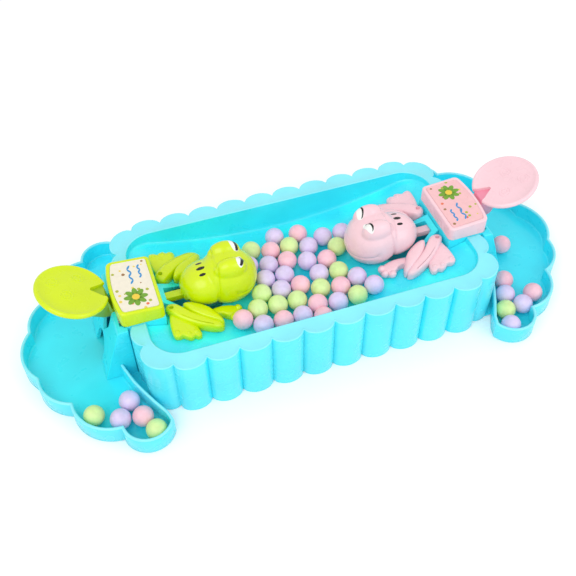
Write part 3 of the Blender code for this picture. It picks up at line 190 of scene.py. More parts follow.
# Loose marbles that only the looks hold: colour, x, y on the basin's floor
MORE_MARBLES = (
    ("lavender", 0.0221, 0.0207),
    ("lavender", 0.0344, 0.0192),
    ("green", -0.0250, 0.0238),
    ("green", 0.0273, 0.0090),
    ("lavender", -0.0303, 0.0115),
    ("lavender", -0.0183, 0.0087),
    ("pink", 0.0176, 0.0015),
    ("green", 0.0207, -0.0105),
    ("lavender", -0.0240, -0.0023),
    ("pink", 0.0174, -0.0224),
    ("green", -0.0299, -0.0131),
    ("lavender", -0.0175, -0.0130),
    ("green", -0.0234, -0.0240),
    ("green", -0.0358, -0.0240),
    ("lavender", 0.0115, -0.0333),
    ("pink", -0.0467, -0.0299),
    ("lavender", -0.0364, -0.0366),
    ("pink", -0.0240, -0.0364),
    ("lavender", -0.0120, -0.0362),
    ("pink", -0.0007, -0.0410),
    ("lavender", 0.0293, -0.0193),
    ("lavender", 0.0362, -0.0295),
    ("green", 0.0242, -0.0327),
)


# What a user would change


class FrogGameColours(bpy.types.PropertyGroup):
    """Colours of the mouldings, the marbles and the printed labels"""

    basin: FloatVectorProperty(
        name="Basin",
        description="Clear blue of the basin, the trays and the housings",
        subtype="COLOR",
        min=0.0,
        max=1.0,
        default=(0.040, 0.82, 0.98),
    )
    # Painted sheen: a paler copy of the basin's blue, laid on the outward-facing walls for the gloss and light
    # that fall on them.
    basin_side: FloatVectorProperty(
        name="Basin, outer walls",
        description="Paler blue of the outer walls, where light comes through",
        subtype="COLOR",
        min=0.0,
        max=1.0,
        default=(0.105, 0.82, 0.95),
    )
    # Painted highlight: the palest copy of the basin's blue, laid on the rim tops for the light they catch.
    basin_rim: FloatVectorProperty(
        name="Basin, rims",
        description="Palest blue, of the rims",
        subtype="COLOR",
        min=0.0,
        max=1.0,
        default=(0.235, 0.83, 0.94),
    )
    green: FloatVectorProperty(
        name="Green frog",
        description="Yellow-green of one frog, its cover and its lever",
        subtype="COLOR",
        min=0.0,
        max=1.0,
        default=(0.64, 0.80, 0.0),
    )
    pink: FloatVectorProperty(
        name="Pink frog",
        description="Soft pink of the other frog, its cover and its lever",
        subtype="COLOR",
        min=0.0,
        max=1.0,
        default=(0.93, 0.62, 0.68),
    )
    marble_lavender: FloatVectorProperty(
        name="Lavender marbles",
        description="Colour of the lavender marbles",
        subtype="COLOR",
        min=0.0,
        max=1.0,
        default=(0.70, 0.60, 0.86),
    )
    marble_pink: FloatVectorProperty(
        name="Pink marbles",
        description="Colour of the pink marbles",
        subtype="COLOR",
        min=0.0,
        max=1.0,
        default=(0.94, 0.55, 0.64),
    )
    marble_green: FloatVectorProperty(
        name="Green marbles",
        description="Colour of the light green marbles",
        subtype="COLOR",
        min=0.0,
        max=1.0,
        default=(0.66, 0.86, 0.36),
    )
    label_cream: FloatVectorProperty(
        name="Cream label",
        description="Ground of the green end's label",
        subtype="COLOR",
        min=0.0,
        max=1.0,
        default=(0.86, 0.80, 0.66),
    )
    label_pink: FloatVectorProperty(
        name="Pink label",
        description="Ground of the pink end's label",
        subtype="COLOR",
        min=0.0,
        max=1.0,
        default=(0.90, 0.52, 0.54),
    )
    steel: FloatVectorProperty(
        name="Steel",
        description="Pins, screws and springs",
        subtype="COLOR",
        min=0.0,
        max=1.0,
        default=(0.62, 0.63, 0.65),
    )


class FrogGameSizes(bpy.types.PropertyGroup):
    """Fineness of the mouldings and sizes that only the looks have"""

    flute_steps: IntProperty(
        name="Flute steps",
        description="Points along each flute of the basin",
        default=12,
        min=4,
        max=24,
    )
    arc_steps: IntProperty(
        name="Arc steps",
        description="Points along each lobe of a tray",
        default=18,
        min=6,
        max=48,
    )
    edge_round: FloatProperty(
        name="Edge round",
        description="Radius of the basin's moulded edges",
        default=0.0008,
        min=0.0002,
        max=0.0015,
        unit="LENGTH",
    )
    rim_hollow: FloatProperty(
        name="Rim hollow",
        description="How far the flat of the rim lies below its two beads",
        default=0.0004,
        min=0.0,
        max=0.001,
        unit="LENGTH",
    )
    frog_voxel: FloatProperty(
        name="Frog voxel",
        description="Cell size of the blended frog skin",
        default=0.0005,
        min=0.0003,
        max=0.002,
        unit="LENGTH",
    )
    marble_segments: IntProperty(
        name="Marble segments",
        description="Meridians of a marble",
        default=40,
        min=16,
        max=64,
    )


class FrogGameStage(bpy.types.PropertyGroup):
    """Floor, light and camera"""

    sky: FloatProperty(
        name="Sky",
        description="Strength of the white surroundings",
        default=0.80,
        min=0.0,
        max=2.0,
    )
    key: FloatProperty(
        name="Key light",
        description="Power of the large soft lamp at the upper left",
        default=4.6,
        min=0.0,
        max=100.0,
        unit="POWER",
    )
    fill: FloatProperty(
        name="Fill light",
        description="Power of the soft lamp on the right",
        default=2.4,
        min=0.0,
        max=100.0,
        unit="POWER",
    )
    lens: FloatProperty(
        name="Lens",
        description="Focal length in millimetres on a 36 mm sensor",
        default=50.27,
        min=10.0,
        max=200.0,
    )


def colours():
    return bpy.context.scene.frog_game_colours


def sizes():
    return bpy.context.scene.frog_game_sizes


# Handling objects


def take(obj):
    """Leaves this object alone selected and active."""
    bpy.ops.object.select_all(action="DESELECT")
    obj.select_set(True)
    bpy.context.view_layer.objects.active = obj
    return obj


def settle(obj):
    """Puts the object's place, turn and scale into its mesh."""
    take(obj)
    bpy.ops.object.transform_apply(location=True, rotation=True, scale=True)
    return obj


def apply_modifier(obj, name, kind, **settings):
    modifier = obj.modifiers.new(name, kind)
    for setting, value in settings.items():
        setattr(modifier, setting, value)
    take(obj)
    bpy.ops.object.modifier_apply(modifier=modifier.name)
    return obj


def unite(obj, others, operation="UNION"):
    """Adds the other shapes to the object, or takes them out of it."""
    for other in others:
        apply_modifier(
            obj, other.name, "BOOLEAN", operation=operation, solver="EXACT", object=other
        )
        bpy.data.objects.remove(other, do_unlink=True)
    return obj


def carve(obj, others):
    return unite(obj, others, "DIFFERENCE")


def soften(obj, width, segments=3, angle_deg=35.0):
    return apply_modifier(
        obj,
        "edges",
        "BEVEL",
        width=width,
        segments=segments,
        limit_method="ANGLE",
        angle_limit=math.radians(angle_deg),
        use_clamp_overlap=True,
    )


def smooth(obj, angle_deg=35.0):
    take(obj)
    bpy.ops.object.shade_smooth_by_angle(angle=math.radians(angle_deg))
    return obj


def joined(parts, name):
    bpy.ops.object.select_all(action="DESELECT")
    for part in parts:
        part.select_set(True)
    bpy.context.view_layer.objects.active = parts[0]
    if len(parts) > 1:
        bpy.ops.object.join()
    parts[0].name = name
    return parts[0]


def skin(name, rings, low_cap="FACE", high_cap="FACE"):
    """A circle is laid on the first ring and extruded from ring to ring."""
    count = len(rings[0])
    bpy.ops.mesh.primitive_circle_add(vertices=count, radius=1.0)
    obj = bpy.context.active_object
    obj.name = name
    bpy.ops.object.mode_set(mode="EDIT")
    bpy.ops.mesh.select_mode(type="VERT")
    bpy.ops.mesh.select_all(action="SELECT")
    mesh = bmesh.from_edit_mesh(obj.data)
    mesh.verts.ensure_lookup_table()
    for vertex, point in zip(mesh.verts, rings[0]):
        vertex.co = point
    row = list(range(count))
    for ring in rings[1:]:
        bpy.ops.mesh.extrude_edges_indiv()
        mesh = bmesh.from_edit_mesh(obj.data)
        mesh.verts.index_update()
        mesh.verts.ensure_lookup_table()
        after = []
        for index, point in zip(row, ring):
            for edge in mesh.verts[index].link_edges:
                other = edge.other_vert(mesh.verts[index])
                if other.select:
                    other.co = point
                    after.append(other.index)
                    break
        row = after
    close_ring(obj, high_cap)
    bpy.ops.mesh.select_all(action="DESELECT")
    mesh = bmesh.from_edit_mesh(obj.data)
    mesh.verts.ensure_lookup_table()
    for index in range(count):
        mesh.verts[index].select = True
    mesh.select_flush(True)
    close_ring(obj, low_cap)
    bpy.ops.mesh.select_all(action="SELECT")
    bpy.ops.mesh.normals_make_consistent(inside=False)
    bpy.ops.object.mode_set(mode="OBJECT")
    return obj


def close_ring(obj, cap):
    """Closes the selected ring with a face, or draws it together in its middle."""
    if cap == "FACE":
        bpy.ops.mesh.edge_face_add()
    elif cap == "POINT":
        bpy.ops.mesh.merge(type="CENTER")
    bmesh.update_edit_mesh(obj.data)


def box_piece(name, low, high, edge=0.0):
    middle = (Vector(low) + Vector(high)) / 2.0
    bpy.ops.mesh.primitive_cube_add(size=1.0, location=middle)
    obj = bpy.context.active_object
    obj.name = name
    obj.scale = Vector(high) - Vector(low)
    settle(obj)
    return soften(obj, edge) if edge else obj


def rod_piece(name, centre, radius, length, axis="Z", steps=48, edge=0.0):
    turned = {"X": (0.0, math.pi / 2, 0.0), "Y": (math.pi / 2, 0.0, 0.0), "Z": (0.0, 0.0, 0.0)}
    bpy.ops.mesh.primitive_cylinder_add(
        vertices=steps, radius=radius, depth=length, location=centre, rotation=turned[axis]
    )
    obj = settle(bpy.context.active_object)
    obj.name = name
    return soften(obj, edge, angle_deg=60.0) if edge else obj


def ball_piece(name, centre, half, segments=48):
    bpy.ops.mesh.primitive_uv_sphere_add(
        segments=segments, ring_count=segments // 2, radius=1.0, location=centre
    )
    obj = bpy.context.active_object
    obj.name = name
    obj.scale = half
    return settle(obj)


def plate_piece(name, outline, low, high, edge=0.0, edge_steps=4):
    """A solid over the outline; low and high are heights, or functions of u."""
    bottom = low if callable(low) else lambda u: low
    top = high if callable(high) else lambda u: high
    rings = [[(u, v, bottom(u)) for u, v in outline]]
    if edge:
        for step in range(edge_steps + 1):
            angle = math.pi / 2.0 * step / edge_steps
            less = edge * (1.0 - math.cos(angle))
            drop = edge * (1.0 - math.sin(angle))
            moved = inset(outline, less) if less else outline
            rings.append([(u, v, top(u) - drop) for u, v in moved])
    else:
        rings.append([(u, v, top(u)) for u, v in outline])
    return skin(name, rings)


def profile_piece(name, profile, half_width):
    """A solid with this side profile in u and z, standing as far to both sides."""
    return skin(name, [[(u, side * half_width, z) for u, z in profile] for side in (-1.0, 1.0)])


def dress(obj, material, body, nodes):
    """Gives a finished piece its material, its body and the CAD nodes it stands for."""
    obj.data.materials.clear()
    obj.data.materials.append(material)
    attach(obj, body)
    if nodes:
        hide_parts(*nodes)
    return obj


def for_both_ends(obj, name):
    """Names the piece for the pink end and gives the green end a copy turned half round."""
    take(obj)
    bpy.ops.object.duplicate()
    other = bpy.context.active_object
    bpy.ops.transform.rotate(value=math.pi, orient_axis="Z", center_override=(0.0, 0.0, 0.0))
    settle(other)
    obj.name = "pink_" + name
    other.name = "green_" + name
    return {"pink": obj, "green": other}


# Outlines in plan


def inset(outline, distance):
    """The outline moved inward by the distance, with mitred corners."""
    moved = []
    for index, point in enumerate(outline):
        before = Vector(outline[index - 1])
        here = Vector(point)
        after = Vector(outline[(index + 1) % len(outline)])
        first = (here - before).normalized()
        second = (after - here).normalized()
        mitre = Vector((-first.y, first.x)) + Vector((-second.y, second.x))
        moved.append(tuple(here + mitre * (2.0 * distance / mitre.length_squared)))
    return moved


def arc_between(start, end, bulge, steps):
    """Points of the arc from start to end that stands out by the bulge on its right."""
    start, end = Vector(start), Vector(end)
    half = (end - start) / 2.0
    across = Vector((half.y, -half.x)).normalized()
    radius = (half.length_squared + bulge * bulge) / (2.0 * bulge)
    centre = start + half + across * (bulge - radius)
    sweep = 2.0 * math.atan2(half.length, radius - bulge)
    ray = start - centre
    return [
        tuple(centre + Matrix.Rotation(sweep * step / steps, 2) @ ray) for step in range(steps)
    ]


def floor_z(u):
    return FLOOR_LOW + FLOOR_RISE * (u / FLOOR_HALF_LENGTH) ** 2


def quarter_ring(bulge):
    """One quarter of the fluted outline, from the end's middle to the long side's middle."""
    half_length, half_width, radius = CUSP_HALF_LENGTH, CUSP_HALF_WIDTH, CUSP_CORNER_RADIUS
    end_run = CUSP_HALF_WIDTH - CUSP_CORNER_RADIUS
    arc_run = CUSP_CORNER_RADIUS * math.pi / 2.0
    long_run = CUSP_HALF_LENGTH - CUSP_CORNER_RADIUS
    rest = arc_run + long_run - CORNER_LOBE_ARC
    flutes = [end_run / 2.0] * 2 + [CORNER_LOBE_ARC] + [rest / 5.0] * 5
    steps = sizes().flute_steps
    points = []
    start = 0.0
    for width in flutes:
        for step in range(steps):
            share = step / steps
            along = start + width * share
            out = bulge(FLUTE_DEPTH * (4.0 * share * (1.0 - share)) ** 0.68)
            if along < end_run:
                points.append((half_length + out, along / end_run * (half_width - radius)))
            elif along < end_run + arc_run:
                angle = (along - end_run) / CUSP_CORNER_RADIUS
                reach = radius + out
                points.append(
                    (
                        half_length - radius + reach * math.cos(angle),
                        half_width - radius + reach * math.sin(angle),
                    )
                )
            else:
                share = (along - end_run - arc_run) / long_run
                points.append(((half_length - radius) * (1.0 - share), half_width + out))
        start += width
    points.append((0.0, half_width + bulge(0.0)))
    return points


def whole_ring(quarter, height):
    half = quarter + [(-x, y) for x, y in reversed(quarter[:-1])]
    ring = half + [(x, -y) for x, y in reversed(half[1:-1])]
    at = height if callable(height) else lambda x: height
    return [(x, y, at(x)) for x, y in ring]


def fluted(less, height):
    return whole_ring(quarter_ring(lambda out: out - less), height)


def plain(less, height):
    """A ring of the rounded mouth, each point the nearest one to the fluted outline."""
    radius = MOUTH_CORNER_RADIUS - less
    centre_x = MOUTH_HALF_LENGTH - MOUTH_CORNER_RADIUS
    centre_y = MOUTH_HALF_WIDTH - MOUTH_CORNER_RADIUS
    quarter = []
    for x, y in quarter_ring(lambda out: 0.0):
        angle = math.atan2(max(0.0, y - centre_y), max(0.0, x - centre_x))
        quarter.append(
            (
                min(x, centre_x) + radius * math.cos(angle),
                min(y, centre_y) + radius * math.sin(angle),
            )
        )
    return whole_ring(quarter, height)


def fillet_z(x):
    return floor_z(x) + FILLET_RISE_SHARE * (RIM_HEIGHT - floor_z(x))


# Materials


def blank_material(name):
    made = bpy.data.materials.new(name)
    made.use_nodes = True
    made.node_tree.nodes.clear()
    output = made.node_tree.nodes.new("ShaderNodeOutputMaterial")
    shader = made.node_tree.nodes.new("ShaderNodeBsdfPrincipled")
    made.node_tree.links.new(shader.outputs["BSDF"], output.inputs["Surface"])
    return made, made.node_tree, shader


def node(tree, kind, settings=None, **inputs):
    """Adds a node; a tuple value is a link, any other value is set on the socket."""
    made = tree.nodes.new(kind)
    for key, value in (settings or {}).items():
        setattr(made, key, value)
    for key, value in inputs.items():
        socket = made.inputs[key.replace("_", " ")]
        if isinstance(value, bpy.types.NodeSocket):
            tree.links.new(value, socket)
        else:
            socket.default_value = value
    return made


def object_coordinates(tree, turned=False):
    """Object coordinates in metres; turned half round where the piece is."""
    source = tree.nodes.new("ShaderNodeTexCoord").outputs["Object"]
    if not turned:
        return source
    mapping = tree.nodes.new("ShaderNodeMapping")
    mapping.inputs["Rotation"].default_value = (0.0, 0.0, math.pi)
    tree.links.new(source, mapping.inputs["Vector"])
    return mapping.outputs["Vector"]


def shade(colour, factor):
    return tuple(min(1.0, channel * factor) for channel in colour[:3]) + (1.0,)


def two_tone(tree, factor, dark, light, low=0.3, high=0.7):
    ramp = tree.nodes.new("ShaderNodeValToRGB")
    ramp.color_ramp.elements[0].position = low
    ramp.color_ramp.elements[0].color = dark
    ramp.color_ramp.elements[1].position = high
    ramp.color_ramp.elements[1].color = light
    tree.links.new(factor, ramp.inputs["Fac"])
    return ramp.outputs["Color"]


def mixed(tree, mask, first, second):
    """Colour two where the mask is one."""
    mix = tree.nodes.new("ShaderNodeMix")
    mix.data_type = "RGBA"
    tree.links.new(mask, mix.inputs["Factor"])
    for socket, value in ((mix.inputs[6], first), (mix.inputs[7], second)):
        if isinstance(value, bpy.types.NodeSocket):
            tree.links.new(value, socket)
        else:
            socket.default_value = value
    return mix.outputs[2]


def relief(tree, shader, height, distance, strength=1.0, below=None):
    bump = tree.nodes.new("ShaderNodeBump")
    bump.inputs["Strength"].default_value = strength
    bump.inputs["Distance"].default_value = distance
    tree.links.new(height, bump.inputs["Height"])
    if below:
        tree.links.new(below, bump.inputs["Normal"])
    tree.links.new(bump.outputs["Normal"], shader.inputs["Normal"])
    return bump.outputs["Normal"]


def moulded_plastic(name, colour, roughness=0.3, variety=0.05, coat=0.25):
    """Glossy injection-moulded plastic: soft flow clouds, faint orange peel, uneven gloss."""
    made, tree, shader = blank_material(name)
    place = object_coordinates(tree)
    clouds = node(tree, "ShaderNodeTexNoise", Vector=place, Scale=38.0, Detail=3.0, Roughness=0.55)
    tone = two_tone(
        tree, clouds.outputs["Fac"], shade(colour, 1.0 - variety), shade(colour, 1.0 + variety)
    )
    tree.links.new(tone, shader.inputs["Base Color"])
    smears = node(tree, "ShaderNodeTexNoise", Vector=place, Scale=140.0, Detail=2.0)
    gloss = node(tree, "ShaderNodeMapRange", Value=smears.outputs["Fac"])
    gloss.inputs["To Min"].default_value = roughness * 0.85
    gloss.inputs["To Max"].default_value = roughness * 1.2
    tree.links.new(gloss.outputs["Result"], shader.inputs["Roughness"])
    peel = node(tree, "ShaderNodeTexNoise", Vector=place, Scale=900.0, Detail=1.0)
    relief(tree, shader, peel.outputs["Fac"], 0.00002, 0.2)
    shader.inputs["Coat Weight"].default_value = coat
    shader.inputs["Coat Roughness"].default_value = 0.08
    shader.inputs["Specular IOR Level"].default_value = 0.36
    return made, tree, shader, place, tone


def cached(name, build):
    found = bpy.data.materials.get(name)
    return found if found else build()


def blue_plastic():
    return cached(
        "blue_moulding", lambda: moulded_plastic("blue_moulding", colours().basin, 0.28)[0]
    )


# Painted sheen: the paler outer-wall blue, a lit copy of the basin's moulding.
def painted_sheen_side():
    return cached(
        "blue_outer_wall", lambda: moulded_plastic("blue_outer_wall", colours().basin_side, 0.26)[0]
    )


# Painted highlight: the palest blue on the rim tops, a lit copy of the basin's moulding.
def painted_highlight_rim():
    return cached("blue_rim", lambda: moulded_plastic("blue_rim", colours().basin_rim, 0.24)[0])


def water_floor():
    """The basin's floor: the blue moulding with a faint relief of ripples, their crests lighter by a painted
    highlight.
    """

    def build():
        made, tree, shader, place, tone = moulded_plastic(
            "blue_water_floor", colours().basin, 0.26
        )
        warp = node(tree, "ShaderNodeTexNoise", Vector=place, Scale=24.0, Detail=2.0)
        bent = node(tree, "ShaderNodeVectorMath", {"operation": "MULTIPLY_ADD"})
        tree.links.new(warp.outputs["Color"], bent.inputs[0])
        bent.inputs[1].default_value = (0.030, 0.030, 0.0)
        tree.links.new(place, bent.inputs[2])
        cells = node(
            tree,
            "ShaderNodeTexVoronoi",
            {"feature": "SMOOTH_F1"},
            Vector=bent.outputs["Vector"],
            Scale=46.0,
            Smoothness=0.35,
        )
        crest = node(tree, "ShaderNodeMapRange", Value=cells.outputs["Distance"])
        crest.inputs["From Min"].default_value = 0.45
        crest.inputs["From Max"].default_value = 0.75
        # Painted highlight: the ripple crests get a lighter copy of the basin's blue.
        light = mixed(tree, crest.outputs["Result"], tone, shade(colours().basin, 1.22))
        tree.links.new(light, shader.inputs["Base Color"])
        relief(tree, shader, crest.outputs["Result"], 0.0004, 0.6)
        return made

    return cached("blue_water_floor", build)


def frog_plastic(end):
    """The frog's plastic with its printed back stripes and sleepy eyes."""

    def build():
        colour = getattr(colours(), end)
        made, tree, shader, place, tone = moulded_plastic(
            end + "_frog_skin", colour, 0.26, 0.04, 0.3
        )
        local = object_coordinates(tree, turned=end == "green")

        def inside(centre, half, turn_deg=0.0):
            mapping = node(tree, "ShaderNodeMapping", {"vector_type": "TEXTURE"}, Vector=local)
            mapping.inputs["Location"].default_value = centre
            mapping.inputs["Rotation"].default_value = (0.0, 0.0, math.radians(turn_deg))
            mapping.inputs["Scale"].default_value = half
            reach = node(tree, "ShaderNodeVectorMath", {"operation": "LENGTH"})
            tree.links.new(mapping.outputs["Vector"], reach.inputs[0])
            within = node(tree, "ShaderNodeMath", {"operation": "LESS_THAN"})
            tree.links.new(reach.outputs["Value"], within.inputs[0])
            within.inputs[1].default_value = 1.0
            return within.outputs["Value"]

        def logic(operation, first, second):
            made_node = node(tree, "ShaderNodeMath", {"operation": operation})
            tree.links.new(first, made_node.inputs[0])
            tree.links.new(second, made_node.inputs[1])
            return made_node.outputs["Value"]

        black = None
        white = None
        for v, half, wide in ((-0.0046, 0.0020, 0.0009), (0.0, 0.0026, 0.0012), (0.0046, 0.0020, 0.0009)):
            stripe = inside((0.0625, v, 0.049), (half, wide, 0.006))
            black = stripe if black is None else logic("MAXIMUM", black, stripe)
        bow = -0.0012 if end == "green" else 0.0009
        for side in (-1.0, 1.0):
            v = side * 0.0068
            turn = side * -14.0
            lid = inside((0.0404, v, 0.0530), (0.0023, 0.0046, 0.0100), turn)
            outer = inside((0.0404 + 0.25 * bow, v, 0.0530), (0.0020, 0.0040, 0.0110), turn)
            inner = inside((0.0404 - 1.30 * bow, v, 0.0530), (0.0021, 0.0046, 0.0140), turn)
            arc = logic("SUBTRACT", outer, logic("MINIMUM", outer, inner))
            white = lid if white is None else logic("MAXIMUM", white, lid)
            black = logic("MAXIMUM", black, arc)
        printed = mixed(tree, white, tone, (0.93, 0.93, 0.90, 1.0))
        printed = mixed(tree, black, printed, (0.002, 0.002, 0.002, 1.0))
        tree.links.new(printed, shader.inputs["Base Color"])
        return made

    return cached(end + "_frog_skin", build)


def end_plastic(end):
    return cached(
        end + "_moulding",
        lambda: moulded_plastic(end + "_moulding", getattr(colours(), end), 0.27, 0.04, 0.3)[0],
    )


def painted_shade_plastic(end):
    """Painted shade: a darker copy of the end's plastic for the lever's stem, hub and pad underside, below the
    pad.
    """
    name = end + "_deep_moulding"
    tint = (0.34, 0.52, 0.004) if end == "green" else (0.88, 0.30, 0.42)
    return cached(name, lambda: moulded_plastic(name, tint, 0.3, 0.05, 0.2)[0])


def marble_plastic(colour):
    """Matt pearl-like marble with soft mottling and fine pits."""

    def build():
        base = getattr(colours(), "marble_" + colour)
        made, tree, shader = blank_material("marble_" + colour + "_pearl")
        place = object_coordinates(tree)
        clouds = node(tree, "ShaderNodeTexNoise", Vector=place, Scale=210.0, Detail=4.0, Roughness=0.6)
        tone = two_tone(tree, clouds.outputs["Fac"], shade(base, 0.93), shade(base, 1.08), 0.35, 0.65)
        tree.links.new(tone, shader.inputs["Base Color"])
        pits = node(tree, "ShaderNodeTexNoise", Vector=place, Scale=1300.0, Detail=2.0)
        relief(tree, shader, pits.outputs["Fac"], 0.00006, 0.5)
        shader.inputs["Roughness"].default_value = 0.42
        shader.inputs["Subsurface Weight"].default_value = 0.10
        shader.inputs["Subsurface Radius"].default_value = (1.0, 0.8, 0.8)
        shader.inputs["Subsurface Scale"].default_value = 0.002
        return made

    return cached("marble_" + colour + "_pearl", build)


def label_print(end):
    """Printed film: a plain ground sprinkled with small dots of four colours."""

    def build():
        ground = colours().label_cream if end == "green" else colours().label_pink
        made, tree, shader = blank_material(end + "_label_print")
        place = object_coordinates(tree)
        flat = node(tree, "ShaderNodeVectorMath", {"operation": "MULTIPLY"})
        tree.links.new(place, flat.inputs[0])
        flat.inputs[1].default_value = (1.0, 1.0, 0.0)
        cells = node(tree, "ShaderNodeTexVoronoi", Vector=flat.outputs["Vector"], Scale=240.0, Randomness=0.75)
        dot = node(tree, "ShaderNodeMath", {"operation": "LESS_THAN"})
        tree.links.new(cells.outputs["Distance"], dot.inputs[0])
        dot.inputs[1].default_value = 0.24
        channel = node(tree, "ShaderNodeSeparateColor")
        tree.links.new(cells.outputs["Color"], channel.inputs["Color"])
        ramp = tree.nodes.new("ShaderNodeValToRGB")
        ramp.color_ramp.interpolation = "CONSTANT"
        tints = ((0.0, (0.42, 0.45, 0.03)), (0.3, (0.82, 0.62, 0.10)), (0.55, (0.32, 0.16, 0.05)), (0.8, (0.80, 0.16, 0.06)))
        for index, (position, tint) in enumerate(tints):
            elements = ramp.color_ramp.elements
            element = elements[index] if index < 2 else elements.new(position)
            element.position = position
            element.color = tint + (1.0,)
        tree.links.new(channel.outputs["Red"], ramp.inputs["Fac"])
        paper = node(tree, "ShaderNodeTexNoise", Vector=place, Scale=420.0, Detail=2.0)
        tone = two_tone(tree, paper.outputs["Fac"], shade(ground, 0.97), shade(ground, 1.03))
        tree.links.new(mixed(tree, dot.outputs["Value"], tone, ramp.outputs["Color"]), shader.inputs["Base Color"])
        relief(tree, shader, paper.outputs["Fac"], 0.00002, 0.3)
        shader.inputs["Roughness"].default_value = 0.32
        shader.inputs["Coat Weight"].default_value = 0.2
        return made

    return cached(end + "_label_print", build)


def ink(name, colour):
    """Printed ink with a slight unevenness of cover."""

    def build():
        made, tree, shader = blank_material(name)
        place = object_coordinates(tree)
        grain = node(tree, "ShaderNodeTexNoise", Vector=place, Scale=800.0, Detail=2.0)
        tone = two_tone(tree, grain.outputs["Fac"], shade(colour, 0.92), shade(colour, 1.08))
        tree.links.new(tone, shader.inputs["Base Color"])
        relief(tree, shader, grain.outputs["Fac"], 0.00002, 0.3)
        shader.inputs["Roughness"].default_value = 0.35
        return made

    return cached(name, build)


def bright_steel():
    """Drawn wire and screw steel: fine streaks and uneven gloss."""

    def build():
        made, tree, shader = blank_material("bright_steel")
        place = object_coordinates(tree)
        streaks = node(tree, "ShaderNodeTexNoise", Vector=place, Scale=1100.0, Detail=3.0, Distortion=0.6)
        tone = two_tone(tree, streaks.outputs["Fac"], shade(colours().steel, 0.85), shade(colours().steel, 1.1))
        tree.links.new(tone, shader.inputs["Base Color"])
        gloss = node(tree, "ShaderNodeMapRange", Value=streaks.outputs["Fac"])
        gloss.inputs["To Min"].default_value = 0.22
        gloss.inputs["To Max"].default_value = 0.4
        tree.links.new(gloss.outputs["Result"], shader.inputs["Roughness"])
        relief(tree, shader, streaks.outputs["Fac"], 0.00003, 0.4)
        shader.inputs["Metallic"].default_value = 1.0
        return made

    return cached("bright_steel", build)


# Basin


def dome_rings(less, drop, shares):
    """Rings of the dished floor, from its middle out to the foot of the wall."""
    edge = plain(less, 0.0)
    return [
        [(x * share, y * share, floor_z(x * share) - drop) for x, y, _ in edge]
        for share in shares
    ]


def basin_rings():
    edge = sizes().edge_round
    hollow = sizes().rim_hollow
    shares = [0.03, 0.12, 0.24, 0.36, 0.48, 0.60, 0.72, 0.84, 0.93, 1.0]
    rings = dome_rings(FLOOR_FILLET, 0.0, shares)
    for step in range(1, 6):
        angle = math.pi / 2.0 * step / 5.0
        less = FLOOR_FILLET - (FLOOR_FILLET - WALL_DRAFT) * math.sin(angle)
        rise = 1.0 - math.cos(angle)
        rings.append(
            plain(less, lambda x, r=rise: floor_z(x) + r * (fillet_z(x) - floor_z(x)))
        )
    for step in range(5):
        angle = math.pi / 2.0 * step / 4.0
        rings.append(
            plain(
                -edge * (1.0 - math.cos(angle)), RIM_HEIGHT - edge * (1.0 - math.sin(angle))
            )
        )
    rings.append(plain(-2.0 * edge, RIM_HEIGHT - hollow))
    rings.append(fluted(2.3 * edge, RIM_HEIGHT - hollow))
    for step in range(5):
        angle = math.pi / 2.0 * step / 4.0
        rings.append(
            fluted(edge * (1.0 - math.sin(angle)), RIM_HEIGHT - edge * (1.0 - math.cos(angle)))
        )
    rings.append(fluted(0.0, 2.0 * edge))
    rings.append(fluted(0.3 * edge, 0.0))
    rings.append(fluted(SHELL_WALL, 0.0))
    rings.append(fluted(SHELL_WALL, RIM_HEIGHT - SHELL_WALL))
    rings.append(plain(-SHELL_WALL, RIM_HEIGHT - SHELL_WALL))
    rings.append(plain(WALL_DRAFT - SHELL_WALL, lambda x: fillet_z(x) - SHELL_WALL))
    rings += dome_rings(FLOOR_FILLET, SHELL_WALL, shares[::-1])
    return rings


def port_outline(steps=28):
    """The round mouth under the frog, tapering to the neck's slot."""
    start = math.radians(42.0)
    points = []
    for step in range(steps + 1):
        angle = start + (math.pi - start) * 2.0 * step / steps
        points.append(
            (PORT_CENTRE_U + PORT_RADIUS * math.cos(angle), PORT_RADIUS * math.sin(angle))
        )
    points += [
        (PORT_TAPER[0], -PORT_TAPER[1]),
        (PORT_SLOT[0], -PORT_SLOT[1]),
        (PORT_SLOT[0], PORT_SLOT[1]),
        (PORT_TAPER[0], PORT_TAPER[1]),
    ]
    return points


def collar_z(u):
    foot = floor_z(COLLAR_START[0]) + COLLAR_FOOT_RISE
    rear = PORT_SLOT[0] + COLLAR_WIDTH
    share = (u - COLLAR_START[0]) / (rear - COLLAR_START[0])
    return foot + share * (COLLAR_REAR_Z - foot)


